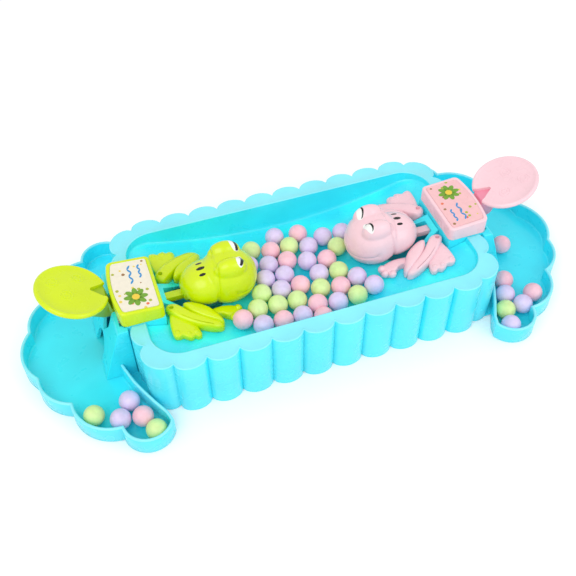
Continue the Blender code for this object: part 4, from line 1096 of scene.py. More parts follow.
class FROGGAME_OT_basin(bpy.types.Operator):
    """Models the fluted basin with its beaded rim, dished floor and two ports"""

    bl_idname = "frog_game.basin"
    bl_label = "Basin"

    def execute(self, context):
        basin = skin("basin_moulding", basin_rings(), "POINT", "POINT")
        rear = PORT_SLOT[0] + COLLAR_WIDTH
        half = PORT_SLOT[1] + COLLAR_WIDTH
        for tag, side in ENDS.items():
            ramp = [
                (COLLAR_START[0], COLLAR_START[1]),
                (COLLAR_START[0], -COLLAR_START[1]),
                (rear, -half),
                (rear, half),
            ][::-1]
            low = floor_z(COLLAR_START[0]) - SHELL_WALL / 2.0
            added = [plate_piece("collar", ramp, low, collar_z)]
            for v in (CHUTE_BOSS[1], -CHUTE_BOSS[1]):
                foot = EAR_TOP_Z + FIT_GAP
                top = floor_z(CHUTE_BOSS[0]) - SHELL_WALL / 2.0
                added.append(
                    rod_piece(
                        "boss", (CHUTE_BOSS[0], v, (foot + top) / 2.0), CHUTE_BOSS[2], top - foot
                    )
                )
            taken = [
                plate_piece("port", port_outline(), EAR_TOP_Z - OVERRUN, RIM_HEIGHT),
                box_piece(
                    "tunnel",
                    (PORT_TAPER[0], -0.0029, HOUSING_SILL),
                    (HOUSING_INNER_U, 0.0029, 0.0344),
                ),
                box_piece(
                    "room",
                    (HOUSING_INNER_U - FIT_GAP, -HOUSING_HALF_WIDTH - FIT_GAP, -OVERRUN),
                    (HOOD_FOOT_U, HOUSING_HALF_WIDTH + FIT_GAP, RIM_HEIGHT + OVERRUN),
                ),
            ]
            for piece in added + taken:
                if side < 0:
                    take(piece)
                    bpy.ops.transform.rotate(
                        value=math.pi, orient_axis="Z", center_override=(0.0, 0.0, 0.0)
                    )
                    settle(piece)
            unite(basin, added)
            carve(basin, taken)
        smooth(basin, 32.0)
        dress(basin, blue_plastic(), "base", ["basin"])
        for made in (water_floor(), painted_sheen_side(), painted_highlight_rim()):
            basin.data.materials.append(made)
        for face in basin.data.polygons:
            x, y, z = face.center
            # Rim tops get the painted highlight, a pale copy of the blue.
            if face.normal.z > 0.2 and z > RIM_HEIGHT - 0.0012:
                face.material_index = 3
            elif face.normal.z > 0.8 and z < RIM_HEIGHT - 0.0025 and z > FLOOR_LOW - 0.0005:
                face.material_index = 1
            # Outward-facing walls get the painted sheen, a paler copy of the blue.
            elif abs(face.normal.z) < 0.7 and face.normal.x * x + face.normal.y * y > 0.0:
                face.material_index = 2
        return {"FINISHED"}


# Trays


def tray_outline():
    steps = sizes().arc_steps
    start = (TRAY_CUSPS[0][0], -TRAY_CUSPS[0][1])
    half = arc_between(start, TRAY_CUSPS[0][:2], TRAY_CUSPS[0][2], steps)
    upper = []
    for before, after in zip(TRAY_CUSPS, TRAY_CUSPS[1:]):
        upper += arc_between(before[:2], after[:2], after[2], steps)
    upper.append(TRAY_CUSPS[-1][:2])
    upper += list(TRAY_INNER_PATH)
    lower = [(u, -v) for u, v in reversed(upper)]
    return half[1:] + upper + lower


class FROGGAME_OT_trays(bpy.types.Operator):
    """Models the scalloped catching trays with rounded rims and floor corners"""

    bl_idname = "frog_game.trays"
    bl_label = "Trays"

    def execute(self, context):
        outline = tray_outline()
        corner = 0.0012
        half = TRAY_WALL / 2.0
        sections = [(TRAY_WALL + corner, TRAY_WALL)]
        for step in range(1, 5):
            angle = math.pi / 2.0 * step / 4.0
            sections.append(
                (
                    TRAY_WALL + corner * (1.0 - math.sin(angle)),
                    TRAY_WALL + corner * (1.0 - math.cos(angle)),
                )
            )
        for step in range(7):
            angle = math.pi * step / 6.0
            sections.append(
                (half + half * math.cos(angle), TRAY_WALL_HEIGHT - half + half * math.sin(angle))
            )
        sections += [(0.0, 0.0008), (0.0003, 0.0002), (0.0008, 0.0)]
        rings = []
        for less, z in sections:
            moved = inset(outline, less) if less > 1e-6 else outline
            rings.append([(u, v, z) for u, v in moved])
        tray = skin("tray", rings)
        gate_u, gate_v = TRAY_INNER_PATH[-1]
        gate = box_piece(
            "gate",
            (gate_u - OVERRUN, -gate_v, TRAY_WALL),
            (gate_u + 2.0 * OVERRUN, gate_v, TRAY_WALL_HEIGHT + OVERRUN),
        )
        carve(tray, [gate])
        flanges = []
        for side in (1.0, -1.0):
            plan = [(0.1000, side * 0.0215), (0.1000, side * 0.0545)]
            plan += [(u, side * v) for u, v in TRAY_INNER_PATH[1:]] + [(0.1190, side * 0.0215)]
            if side > 0.0:
                plan.reverse()
            flanges.append(plate_piece("flange", plan, 0.0002, 0.0011))
        unite(tray, flanges)
        smooth(tray, 32.0)
        for tag, piece in for_both_ends(tray, "tray_moulding").items():
            dress(piece, blue_plastic(), "base", [tag + "_tray"])
            for made in (painted_sheen_side(), painted_highlight_rim()):
                piece.data.materials.append(made)
            for face in piece.data.polygons:
                u, v = ENDS[tag] * face.center.x - 0.132, ENDS[tag] * face.center.y
                out = ENDS[tag] * (face.normal.x * u + face.normal.y * v)
                # Tray rim tops get the painted highlight, a pale copy of the blue.
                if face.normal.z > 0.2 and face.center.z > TRAY_WALL_HEIGHT - 0.0012:
                    face.material_index = 2
                # Outward-facing tray walls get the painted sheen, a paler copy of the blue.
                elif abs(face.normal.z) < 0.7 and out > 0.0:
                    face.material_index = 1
        return {"FINISHED"}


# Housings


def hood_profile(less):
    """Side profile of the hood in u and z; less is the wall taken off."""
    slope = (HOOD_FOOT_U - HOOD_TOP_U) / (RIM_HEIGHT - HOOD_TOP_DROP)
    slant = less * math.hypot(1.0, slope)
    top = RIM_HEIGHT - less
    end = HOOD_START_U + 0.0067
    foot = TRAY_WALL + FIT_GAP - (OVERRUN if less else 0.0)
    base = -OVERRUN if less else 0.0
    front = HOOD_START_U + less
    drop = 0.0 if less else HOOD_TOP_DROP
    return [
        (front, base),
        (end, base),
        (end, foot),
        (HOOD_FOOT_U - slant - foot * slope, foot),
        (HOOD_TOP_U - slant + less * slope, top - drop),
        (HOOD_TOP_U - slant - HOOD_TOP_DROP, top),
        (front, top),
    ]


def hood_piece():
    """The hood, rounded along its slope and then cut level with the base and the tray."""
    below = 0.010
    slope = (HOOD_FOOT_U - HOOD_TOP_U) / (RIM_HEIGHT - HOOD_TOP_DROP)
    end = HOOD_START_U + 0.0067
    foot = TRAY_WALL + FIT_GAP
    side = [(HOOD_START_U, -below), (HOOD_FOOT_U + below * slope, -below)]
    hood = profile_piece("hood", side + hood_profile(0.0)[4:], HOOD_HALF_WIDTH)
    soften(hood, HOOD_ROUND, 6, 20.0)
    wide = HOOD_HALF_WIDTH + OVERRUN
    lowest = -below - OVERRUN
    far = HOOD_FOOT_U + below
    cuts = [
        box_piece("base", (HOOD_START_U - OVERRUN, -wide, lowest), (end + OVERRUN, wide, 0.0)),
        box_piece("foot", (end, -wide, lowest), (far, wide, foot)),
    ]
    return carve(hood, cuts)


class FROGGAME_OT_housings(bpy.types.Operator):
    """Models the lever housings with their sloped hoods, slots and exit arches"""

    bl_idname = "frog_game.housings"
    bl_label = "Housings"

    def execute(self, context):
        wall = HOUSING_WALL
        inner = HOUSING_HALF_WIDTH - wall
        shell = box_piece(
            "housing",
            (HOUSING_INNER_U, -HOUSING_HALF_WIDTH, 0.0),
            (HOOD_START_U + wall, HOUSING_HALF_WIDTH, RIM_HEIGHT),
            0.0004,
        )
        unite(shell, [hood_piece()])
        slot_profile = [
            (0.0, SLOT_APEX_Z),
            (SLOT_HALF_WIDTH, SLOT_SHOULDER_Z),
            (SLOT_HALF_WIDTH, RIM_HEIGHT + OVERRUN),
            (-SLOT_HALF_WIDTH, RIM_HEIGHT + OVERRUN),
            (-SLOT_HALF_WIDTH, SLOT_SHOULDER_Z),
        ]
        exit_profile = [(EXIT_HALF_WIDTH, -OVERRUN)]
        for step in range(25):
            angle = math.pi * step / 24.0
            exit_profile.append(
                (EXIT_HALF_WIDTH * math.cos(angle), EXIT_SPRING_Z + EXIT_HALF_WIDTH * math.sin(angle))
            )
        exit_profile.append((-EXIT_HALF_WIDTH, -OVERRUN))
        far = HOOD_FOOT_U + OVERRUN
        taken = [
            profile_piece("hollow", hood_profile(wall), HOOD_HALF_WIDTH - wall),
            box_piece(
                "room",
                (HOUSING_INNER_U + wall, -inner, -OVERRUN),
                (HOOD_START_U + wall + OVERRUN, inner, RIM_HEIGHT + OVERRUN),
            ),
            box_piece(
                "under",
                (HOUSING_INNER_U - OVERRUN, -inner, -OVERRUN),
                (HOUSING_INNER_U + wall + OVERRUN, inner, HOUSING_SILL),
            ),
            box_piece(
                "neck_mouth",
                (HOUSING_INNER_U - OVERRUN, -0.0029, 0.0296),
                (HOUSING_INNER_U + wall + OVERRUN, 0.0029, 0.0344),
            ),
            skin(
                "slot",
                [[(u, v, z) for v, z in slot_profile] for u in (HOOD_START_U + wall + OVERRUN, far)],
            ),
            skin(
                "exit",
                [[(u, v, z) for v, z in exit_profile] for u in (HOOD_START_U + 0.007, far)],
            ),
        ]
        carve(shell, taken)
        added = []
        u, z = PIVOT
        for side in (1.0, -1.0):
            for low, high in (
                ((u - 0.0038, 0.0167, 0.034), (u + 0.0038, 0.0192, 0.0436)),
                ((u - 0.0038, PIVOT_PIN_HALF, 0.034), (u + 0.0038, inner + wall / 2.0, RIM_HEIGHT)),
                (
                    (HOUSING_INNER_U + wall / 2.0, 0.0134, RIM_HEIGHT - 0.003),
                    (0.0957, inner + wall / 2.0, RIM_HEIGHT),
                ),
            ):
                ends = sorted((side * low[1], side * high[1]))
                added.append(
                    box_piece("lug", (low[0], ends[0], low[2]), (high[0], ends[1], high[2]))
                )
        added.append(
            box_piece(
                "shelf", (SHELF[0], -inner - wall / 2.0, SHELF[2]), (SHELF[1], inner + wall / 2.0, SHELF[3])
            )
        )
        unite(shell, added)
        saddles = [
            rod_piece("saddle", (u, 0.0, z), 0.0018, 2.0 * PIVOT_PIN_HALF + FIT_GAP, "Y"),
            box_piece(
                "throat",
                (u - 0.0018, -PIVOT_PIN_HALF - FIT_GAP / 2.0, z),
                (u + 0.0018, PIVOT_PIN_HALF + FIT_GAP / 2.0, 0.0456),
            ),
        ]
        for side in (1.0, -1.0):
            saddles.append(
                rod_piece("hole", (COVER_SCREW[0], side * COVER_SCREW[1], RIM_HEIGHT), 0.0014, 0.012)
            )
        carve(shell, saddles)
        smooth(shell, 32.0)
        for tag, piece in for_both_ends(shell, "housing_moulding").items():
            dress(piece, blue_plastic(), "base", [tag + "_housing"])
        return {"FINISHED"}


# Covers and labels


def cover_outline(less, corner_steps=10, bow_steps=16):
    inner, outer = COVER_INNER_U + less, COVER_OUTER_U - less
    half, radius = COVER_HALF_WIDTH - less, COVER_CORNER - less / 2.0
    points = []
    corners = (
        (outer - radius, half - radius, 0.0),
        (inner + radius, half - radius, 90.0),
        (inner + radius, radius - half, 180.0),
        (outer - radius, radius - half, 270.0),
    )
    for u, v, start in corners:
        for step in range(corner_steps + 1):
            angle = math.radians(start + 90.0 * step / corner_steps)
            points.append((u + radius * math.cos(angle), v + radius * math.sin(angle)))
    span = half - radius
    for step in range(1, bow_steps):
        points.append((outer, -span + 2.0 * span * step / bow_steps))
    bowed = []
    for u, v in points:
        share = max(0.0, (u - inner) / (outer - inner))
        bowed.append((u + COVER_BOW * share * (1.0 - (v / half) ** 2), v))
    return bowed


def cover_top_z(u):
    share = (u - COVER_INNER_U) / (COVER_OUTER_U - COVER_INNER_U)
    return COVER_TOP[0] + share * (COVER_TOP[1] - COVER_TOP[0])


def flower(centre, reach, petals):
    """A printed daisy: one petal drawn and copied round the middle; its round heart is made apart."""
    u, v = centre
    parts = []
    for index in range(petals):
        angle = math.tau * index / petals
        spot = (u + 0.55 * reach * math.cos(angle), v + 0.55 * reach * math.sin(angle), 0.0)
        bpy.ops.mesh.primitive_cylinder_add(
            vertices=20, radius=1.0, depth=1.0, location=spot, rotation=(0.0, 0.0, angle)
        )
        petal = bpy.context.active_object
        petal.scale = (0.46 * reach, 0.24 * reach, 0.00006)
        parts.append(settle(petal))
    return parts


def waves():
    """Two rows of printed ripples, each a zigzag of short round-ended strokes."""
    parts = []
    for u, reach in ((0.0966, 0.0013), (0.1022, 0.0018)):
        for index in range(5):
            lean = math.radians(90.0 + (32.0 if index % 2 else -32.0))
            spot = (u, -0.0140 + 2.0 * reach * index * 0.82, 0.0)
            bpy.ops.mesh.primitive_cylinder_add(
                vertices=20, radius=1.0, depth=1.0, location=spot, rotation=(0.0, 0.0, lean)
            )
            stroke = bpy.context.active_object
            stroke.scale = (reach, 0.00060, 0.00006)
            parts.append(settle(stroke))
    return parts


def lay_on_label(obj, rise):
    """Sets a flat printed shape on the sloping label."""
    for vertex in obj.data.vertices:
        vertex.co.z += cover_top_z(vertex.co.x) - 0.00010 + rise
    return obj


class FROGGAME_OT_covers(bpy.types.Operator):
    """Models the label covers, their printed plates and a plain flower print"""

    bl_idname = "frog_game.covers"
    bl_label = "Covers"

    def execute(self, context):
        edge = 0.0012
        rings = [
            [(u, v, cover_top_z(u) - COVER_WALL - LABEL_RECESS) for u, v in cover_outline(COVER_WALL)],
            [(u, v, COVER_BASE_Z) for u, v in cover_outline(COVER_WALL)],
            [(u, v, COVER_BASE_Z) for u, v in cover_outline(0.0002)],
            [(u, v, COVER_BASE_Z + 0.0003) for u, v in cover_outline(0.0)],
        ]
        for step in range(6):
            angle = math.pi / 2.0 * step / 5.0
            less, drop = edge * (1.0 - math.cos(angle)), edge * (1.0 - math.sin(angle))
            rings.append([(u, v, cover_top_z(u) - drop) for u, v in cover_outline(less)])
        rings.append([(u, v, cover_top_z(u)) for u, v in cover_outline(LABEL_MARGIN - 0.0003)])
        rings.append([(u, v, cover_top_z(u) - 0.0003) for u, v in cover_outline(LABEL_MARGIN)])
        rings.append([(u, v, cover_top_z(u) - LABEL_RECESS) for u, v in cover_outline(LABEL_MARGIN)])
        cover = skin("cover", rings)
        bosses = []
        for side in (1.0, -1.0):
            spot = (COVER_SCREW[0], side * COVER_SCREW[1], 0.0438)
            bosses.append(rod_piece("boss", spot, 0.0024, 0.0070, edge=0.0002))
        unite(cover, bosses)
        carve(
            cover,
            [
                rod_piece("bore", (COVER_SCREW[0], side * COVER_SCREW[1], COVER_BASE_Z), 0.0014, 0.012)
                for side in (1.0, -1.0)
            ],
        )
        smooth(cover, 32.0)
        low = LABEL_RECESS - FIT_GAP
        margin = LABEL_MARGIN + 0.0001
        plate = skin(
            "plate",
            [
                [(u, v, cover_top_z(u) - low) for u, v in cover_outline(margin)],
                [(u, v, cover_top_z(u) - 0.0002) for u, v in cover_outline(margin)],
                [(u, v, cover_top_z(u) - 0.0001) for u, v in cover_outline(margin + 0.0001)],
            ],
        )
        smooth(plate, 32.0)
        petals = lay_on_label(joined(flower((0.1025, 0.0096), 0.0068, 8), "petals"), 0.00004)
        heart = rod_piece("heart", (0.1025, 0.0096, 0.0), 0.0022, 0.00008, steps=28)
        lay_on_label(heart, 0.00009)
        stems = lay_on_label(joined(waves(), "waves"), 0.00004)
        covers = for_both_ends(cover, "cover_moulding")
        plates = for_both_ends(plate, "label_film")
        prints = (
            (for_both_ends(petals, "label_petals"), "petal_ink", (0.16, 0.36, 0.02)),
            (for_both_ends(heart, "label_heart"), "heart_ink", (0.85, 0.60, 0.05)),
            (for_both_ends(stems, "label_waves"), "wave_ink", (0.03, 0.28, 0.62)),
        )
        for tag in ENDS:
            body = "base"
            dress(covers[tag], end_plastic(tag), body, [tag + "_label_cover"])
            dress(plates[tag], label_print(tag), body, [tag + "_label_plate"])
            for pair, name, tint in prints:
                smooth(pair[tag], 30.0)
                dress(pair[tag], ink(name, tint), body, [])
        return {"FINISHED"}


# Levers


def swirl_piece(u, v, radius):
    """One ring of a faint raised swirl, laid on the pad's dome before the pad is tilted."""
    reach = math.hypot(u, v)
    top = PAD_THICKNESS / 2.0 - PAD_SINK + PAD_DOME * (1.0 - (reach / PAD_RADIUS) ** 2)
    lean = Vector((2.0 * PAD_DOME * u, 2.0 * PAD_DOME * v, PAD_RADIUS**2)).normalized()
    turn = Vector((0.0, 0.0, 1.0)).rotation_difference(lean).to_euler()
    bpy.ops.mesh.primitive_torus_add(
        location=(u, v, top - 0.6 * SWIRL_BEAD),
        rotation=turn,
        major_radius=radius,
        minor_radius=SWIRL_BEAD,
        major_segments=32,
        minor_segments=8,
    )
    ring = settle(bpy.context.active_object)
    ring.name = "swirl"
    return ring


def pad_piece():
    """The round pad, turned, with a raised lip, faint swirls and a notch for the stem."""
    half = PAD_THICKNESS / 2.0
    profile = [(0.0006, half - PAD_SINK), (0.0060, half - PAD_SINK), (0.0120, half - PAD_SINK)]
    profile += [(0.0176, half - PAD_SINK), (0.0183, half - 0.0003), (0.0190, half)]
    for step in range(9):
        angle = math.radians(80.0 - 160.0 * step / 8.0)
        profile.append(
            (PAD_RADIUS - half * (1.0 - math.cos(angle)), half * math.sin(angle) / math.sin(math.radians(80.0)))
        )
    profile.append((0.0186, -half))
    profile.append((0.0006, -half))
    steps = 96
    rings = []
    for radius, flat_z in profile:
        z = flat_z + (PAD_DOME * (1.0 - (radius / PAD_RADIUS) ** 2) if flat_z > 0.0 else 0.0)
        rings.append(
            [
                (radius * math.cos(math.tau * i / steps), radius * math.sin(math.tau * i / steps), z)
                for i in range(steps)
            ]
        )
    pad = skin("pad", rings, "POINT", "POINT")
    unite(pad, [swirl_piece(u, v, radius) for u, v in PAD_SWIRLS for radius in SWIRL_RADII])
    tip = NOTCH_DEPTH - PAD_RADIUS
    edge = -PAD_RADIUS - OVERRUN
    plan = [(edge, NOTCH_HALF_WIDTH), (edge, -NOTCH_HALF_WIDTH), (tip, -0.0008), (tip, 0.0008)]
    carve(pad, [plate_piece("notch", plan, -PAD_THICKNESS, PAD_THICKNESS)])
    tilt = Matrix.Rotation(-math.radians(PAD_TILT_DEG), 4, "Y")
    pad.data.transform(Matrix.Translation(PAD_CENTRE) @ tilt)
    return pad


class FROGGAME_OT_levers(bpy.types.Operator):
    """Models the levers: pad, wedge stem, hub and the two arms that drive the neck"""

    bl_idname = "frog_game.levers"
    bl_label = "Levers"

    def execute(self, context):
        lever = pad_piece()
        sections = [
            [(u, wide, top), (u, -wide, top), (u, -narrow, low), (u, narrow, low)]
            for u, top, low, wide, narrow in STEM_STATIONS
        ]
        stem = skin("stem", sections)
        soften(stem, 0.0005, 2, 30.0)
        hub = rod_piece("hub", (PIVOT[0], 0.0, PIVOT[1]), HUB_RADIUS, 2.0 * HUB_HALF_WIDTH, "Y", edge=0.0004)
        added = [stem, hub]
        rest = math.radians(10.0)
        swing = Matrix.Translation((PIVOT[0], 0.0, PIVOT[1])) @ Matrix.Rotation(-rest, 4, "Y")
        for side in (1.0, -1.0):
            near, far = sorted((side * 0.0143, side * 0.0160))
            arm = box_piece("arm", (-0.0025, near, -0.02845), (0.0025, far, 0.0), 0.0004)
            nub = rod_piece("nub", (0.0, side * 0.013575, -0.026), 0.0017, 0.00315, "Y", edge=0.0002)
            for piece in (arm, nub):
                piece.data.transform(swing)
                added.append(piece)
        unite(lever, added)
        bore = rod_piece("bore", (PIVOT[0], 0.0, PIVOT[1]), PIVOT_BORE_RADIUS, 0.04, "Y")
        carve(lever, [bore])
        smooth(lever, 32.0)
        for tag, piece in for_both_ends(lever, "press_lever").items():
            dress(piece, end_plastic(tag), tag + "_lever_body", [tag + "_lever"])
            piece.data.materials.append(painted_shade_plastic(tag))
            slope = math.tan(math.radians(PAD_TILT_DEG))
            # Painted shade: faces of the stem, hub and pad underside near the middle and below the pad get the
            # darker copy.
            for face in piece.data.polygons:
                u, z = ENDS[tag] * face.center.x, face.center.z
                pad_z = PAD_CENTRE[2] + (u - PAD_CENTRE[0]) * slope
                if u < 0.1345 and z < pad_z - 0.0004 and abs(face.center.y) < 0.0057:
                    face.material_index = 1
        return {"FINISHED"}


# Necks, pins and springs


class FROGGAME_OT_necks(bpy.types.Operator):
    """Models the sliding neck bars with their eye, yoke and slotted plates"""

    bl_idname = "frog_game.necks"
    bl_label = "Necks"

    def execute(self, context):
        neck = box_piece("neck", (HINGE[0], -0.0025, 0.030), (0.1058, 0.0025, 0.034), 0.0004)
        added = [rod_piece("eye", (HINGE[0], 0.0, HINGE[1]), 0.0030, 0.0050, "Y", edge=0.0003)]
        added.append(box_piece("yoke", (0.1018, -0.0137, 0.030), (0.1058, 0.0137, 0.034), 0.0004))
        taken = [rod_piece("bore", (HINGE[0], 0.0, HINGE[1]), 0.0013, 0.010, "Y")]
        slot_u = PIVOT[0] + 0.026 * math.sin(math.radians(10.0))
        for side in (1.0, -1.0):
            near, far = sorted((side * 0.0117, side * 0.0137))
            added.append(box_piece("plate", (0.1006, near, 0.0105), (0.1084, far, 0.034), 0.0004))
            taken.append(
                box_piece(
                    "slot",
                    (slot_u - 0.00195, near - OVERRUN, 0.0119),
                    (slot_u + 0.00195, far + OVERRUN, 0.0172),
                    0.0006,
                )
            )
        unite(neck, added)
        carve(neck, taken)
        smooth(neck, 32.0)
        for tag, piece in for_both_ends(neck, "sliding_neck").items():
            dress(piece, end_plastic(tag), tag + "_neck", [tag + "_neck_bar"])
        return {"FINISHED"}


class FROGGAME_OT_springs(bpy.types.Operator):
    """Winds the return springs at rest; in the game they shorten as the levers go down."""

    bl_idname = "frog_game.springs"
    bl_label = "Springs"

    def execute(self, context):
        u, radius, low, high = SPRING
        bpy.ops.curve.primitive_bezier_circle_add(radius=radius)
        coil = bpy.context.active_object
        curve = coil.data
        curve.splines.clear()
        spline = curve.splines.new("POLY")
        turns, steps = 5, 24
        spline.points.add(turns * steps)
        for index, point in enumerate(spline.points):
            angle = math.tau * index / steps
            height = low + (high - low) * index / (turns * steps)
            point.co = (u + radius * math.cos(angle), radius * math.sin(angle), height, 1.0)
        curve.dimensions = "3D"
        curve.bevel_depth = 0.0005
        curve.bevel_resolution = 3
        curve.use_fill_caps = True
        take(coil)
        bpy.ops.object.convert(target="MESH")
        spring = bpy.context.active_object
        take(spring)
        bpy.ops.object.mode_set(mode="EDIT")
        bpy.ops.mesh.select_all(action="SELECT")
        bpy.ops.mesh.remove_doubles(threshold=0.000001)
        bpy.ops.mesh.normals_make_consistent(inside=False)
        bpy.ops.object.mode_set(mode="OBJECT")
        smooth(spring, 60.0)
        for tag, piece in for_both_ends(spring, "wound_spring").items():
            dress(piece, bright_steel(), "base", [tag + "_return_spring"])
            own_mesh(piece)
        return {"FINISHED"}


# Frogs


def inside_ellipsoid(point, shape):
    centre, half = shape
    return sum(((point[i] - centre[i]) / half[i]) ** 2 for i in range(3))


def sculpt_face(frog):
    """Presses the smile, the cheek dimples and the fold between head and back."""
    (head_u, _, head_z), (half_u, half_v, half_z) = HEAD
    for vertex in frog.data.vertices:
        u, v, z = vertex.co
        turn = math.atan2(abs(v) / half_v, (head_u - u) / half_u)
        if u < head_u + 0.004 and turn < 1.75:
            line = head_z - 0.0042 + 0.0034 * (turn / 1.5) ** 2
            near = math.exp(-(((z - line) / 0.00075) ** 2))
            fade = min(1.0, max(0.0, (1.5 - turn) / 0.2))
            push = 0.00062 * near * fade
            dimple = math.exp(-(((turn - 1.42) / 0.09) ** 2) - ((z - line - 0.0006) / 0.0016) ** 2)
            push += 0.0009 * dimple
            vertex.co -= vertex.normal * push
        fold = math.exp(-(((u - 0.0560 + 0.10 * (z - head_z)) / 0.0007) ** 2))
        vertex.co -= vertex.normal * 0.0008 * fold
    frog.data.update()


class FROGGAME_OT_frogs(bpy.types.Operator):
    """Models the hollow frog shells from blended, smoothed and pressed masses"""

    bl_idname = "frog_game.frogs"
    bl_label = "Frogs"

    def execute(self, context):
        masses = [ball_piece("head", *HEAD), ball_piece("torso", *TORSO)]
        for side in (1.0, -1.0):
            (u, v, z), (half_u, half_v, half_z) = EYE
            masses.append(ball_piece("eye", (u, side * v, z), (half_u, half_v, half_z)))
        frog = joined(masses, "frog")
        voxel = sizes().frog_voxel * 1.0
        apply_modifier(frog, "blend", "REMESH", mode="VOXEL", voxel_size=voxel, adaptivity=0.0)
        apply_modifier(frog, "ease", "SMOOTH", factor=0.5, iterations=10)
        sculpt_face(frog)
        wall = FROG_WALL
        hollows = []
        for name, (centre, half) in (("head_hollow", HEAD), ("torso_hollow", TORSO)):
            hollows.append(ball_piece(name, centre, tuple(size - wall for size in half)))
        carve(frog, hollows)
        lugs = []
        for side in (1.0, -1.0):
            lugs.append(
                rod_piece("lug", (HINGE[0], side * 0.00435, HINGE[1]), 0.0032, 0.0025, "Y", edge=0.0003)
            )
        unite(frog, lugs)
        ground = box_piece("ground", (-0.018, -0.047, -0.047), (0.1072, 0.047, 0.0))
        base_u, base_z, slope = FROG_BASE
        tilt = Matrix.Rotation(-math.atan(slope), 4, "Y")
        ground.data.transform(Matrix.Translation((base_u, 0.0, base_z)) @ tilt)
        tail = box_piece("tail", (0.0675, -0.00295, base_z), (0.1072, 0.00295, 0.0382))
        bore = rod_piece("bore", (HINGE[0], 0.0, HINGE[1]), 0.0013, 0.0224, "Y")
        carve(frog, [ground, tail, bore])
        smooth(frog, 50.0)
        for tag, piece in for_both_ends(frog, "frog_skin").items():
            dress(piece, frog_plastic(tag), tag + "_frog", [tag + "_frog_shell"])
        return {"FINISHED"}


def closed_curve(points, steps):
    """A smooth closed outline through the points."""
    count = len(points)
    outline = []
    for index in range(count):
        p0, p1, p2, p3 = (Vector(points[(index + k - 1) % count]) for k in range(4))
        for step in range(steps):
            t = step / steps
            outline.append(
                tuple(
                    0.5
                    * (
                        2.0 * p1
                        + (p2 - p0) * t
                        + (2.0 * p0 - 5.0 * p1 + 4.0 * p2 - p3) * t * t
                        + (3.0 * p1 - p0 - 3.0 * p2 + p3) * t * t * t
                    )
                )
            )
    area = sum(
        outline[i - 1][0] * outline[i][1] - outline[i][0] * outline[i - 1][1]
        for i in range(len(outline))
    )
    return outline if area > 0 else outline[::-1]


def cushion(name, points, height, rim=0.0013, low=0.0, lean=0.0):
    """A flat moulding with full round shoulders over a smooth plan."""
    outline = closed_curve(points, 8)
    centre = Vector((sum(p[0] for p in outline), sum(p[1] for p in outline))) / len(outline)
    shoulder = low + height - rim
    rings = []
    for share, z in (
        (0.97, low),
        (1.0, low + 0.0003),
        (1.0, shoulder),
        (0.975, shoulder + 0.32 * rim),
        (0.93, shoulder + 0.55 * rim),
        (0.85, shoulder + 0.76 * rim),
        (0.70, shoulder + 0.91 * rim),
        (0.45, shoulder + 0.985 * rim),
        (0.15, low + height),
    ):
        rings.append(
            [
                (
                    centre.x + (u - centre.x) * share,
                    centre.y + (v - centre.y) * share,
                    z,
                )
                for u, v in outline
            ]
        )
    return skin(name, rings)


THIGH_PLAN = (
    (0.0775, 0.0112),
    (0.0755, 0.0165),
    (0.0706, 0.0216),
    (0.0640, 0.0262),
    (0.0586, 0.0290),
    (0.0572, 0.0272),
    (0.0592, 0.0222),
    (0.0628, 0.0168),
    (0.0680, 0.0128),
    (0.0740, 0.0104),
)
SHIN_PLAN = (
    (0.0868, 0.0106),
    (0.0880, 0.0140),
    (0.0850, 0.0184),
    (0.0790, 0.0240),
    (0.0712, 0.0288),
    (0.0630, 0.0318),
    (0.0586, 0.0310),
    (0.0590, 0.0284),
    (0.0660, 0.0240),
    (0.0740, 0.0180),
    (0.0790, 0.0128),
    (0.0830, 0.0098),
)
FOOT_PLAN = (
    (0.0852, 0.0135),
    (0.0876, 0.0210),
    (0.0882, 0.0290),
    (0.0876, 0.0334),
    (0.0852, 0.0344),
    (0.0828, 0.0335),
    (0.0806, 0.0350),
    (0.0782, 0.0358),
    (0.0763, 0.0344),
    (0.0742, 0.0354),
    (0.0722, 0.0340),
    (0.0724, 0.0296),
    (0.0752, 0.0220),
    (0.0796, 0.0146),
)
ARM_PLAN = (
    (0.0660, 0.0190),
    (0.0640, 0.0220),
    (0.0572, 0.0212),
    (0.0530, 0.0236),
    (0.0480, 0.0238),
    (0.0450, 0.0206),
    (0.0462, 0.0168),
    (0.0540, 0.0150),
    (0.0620, 0.0164),
)


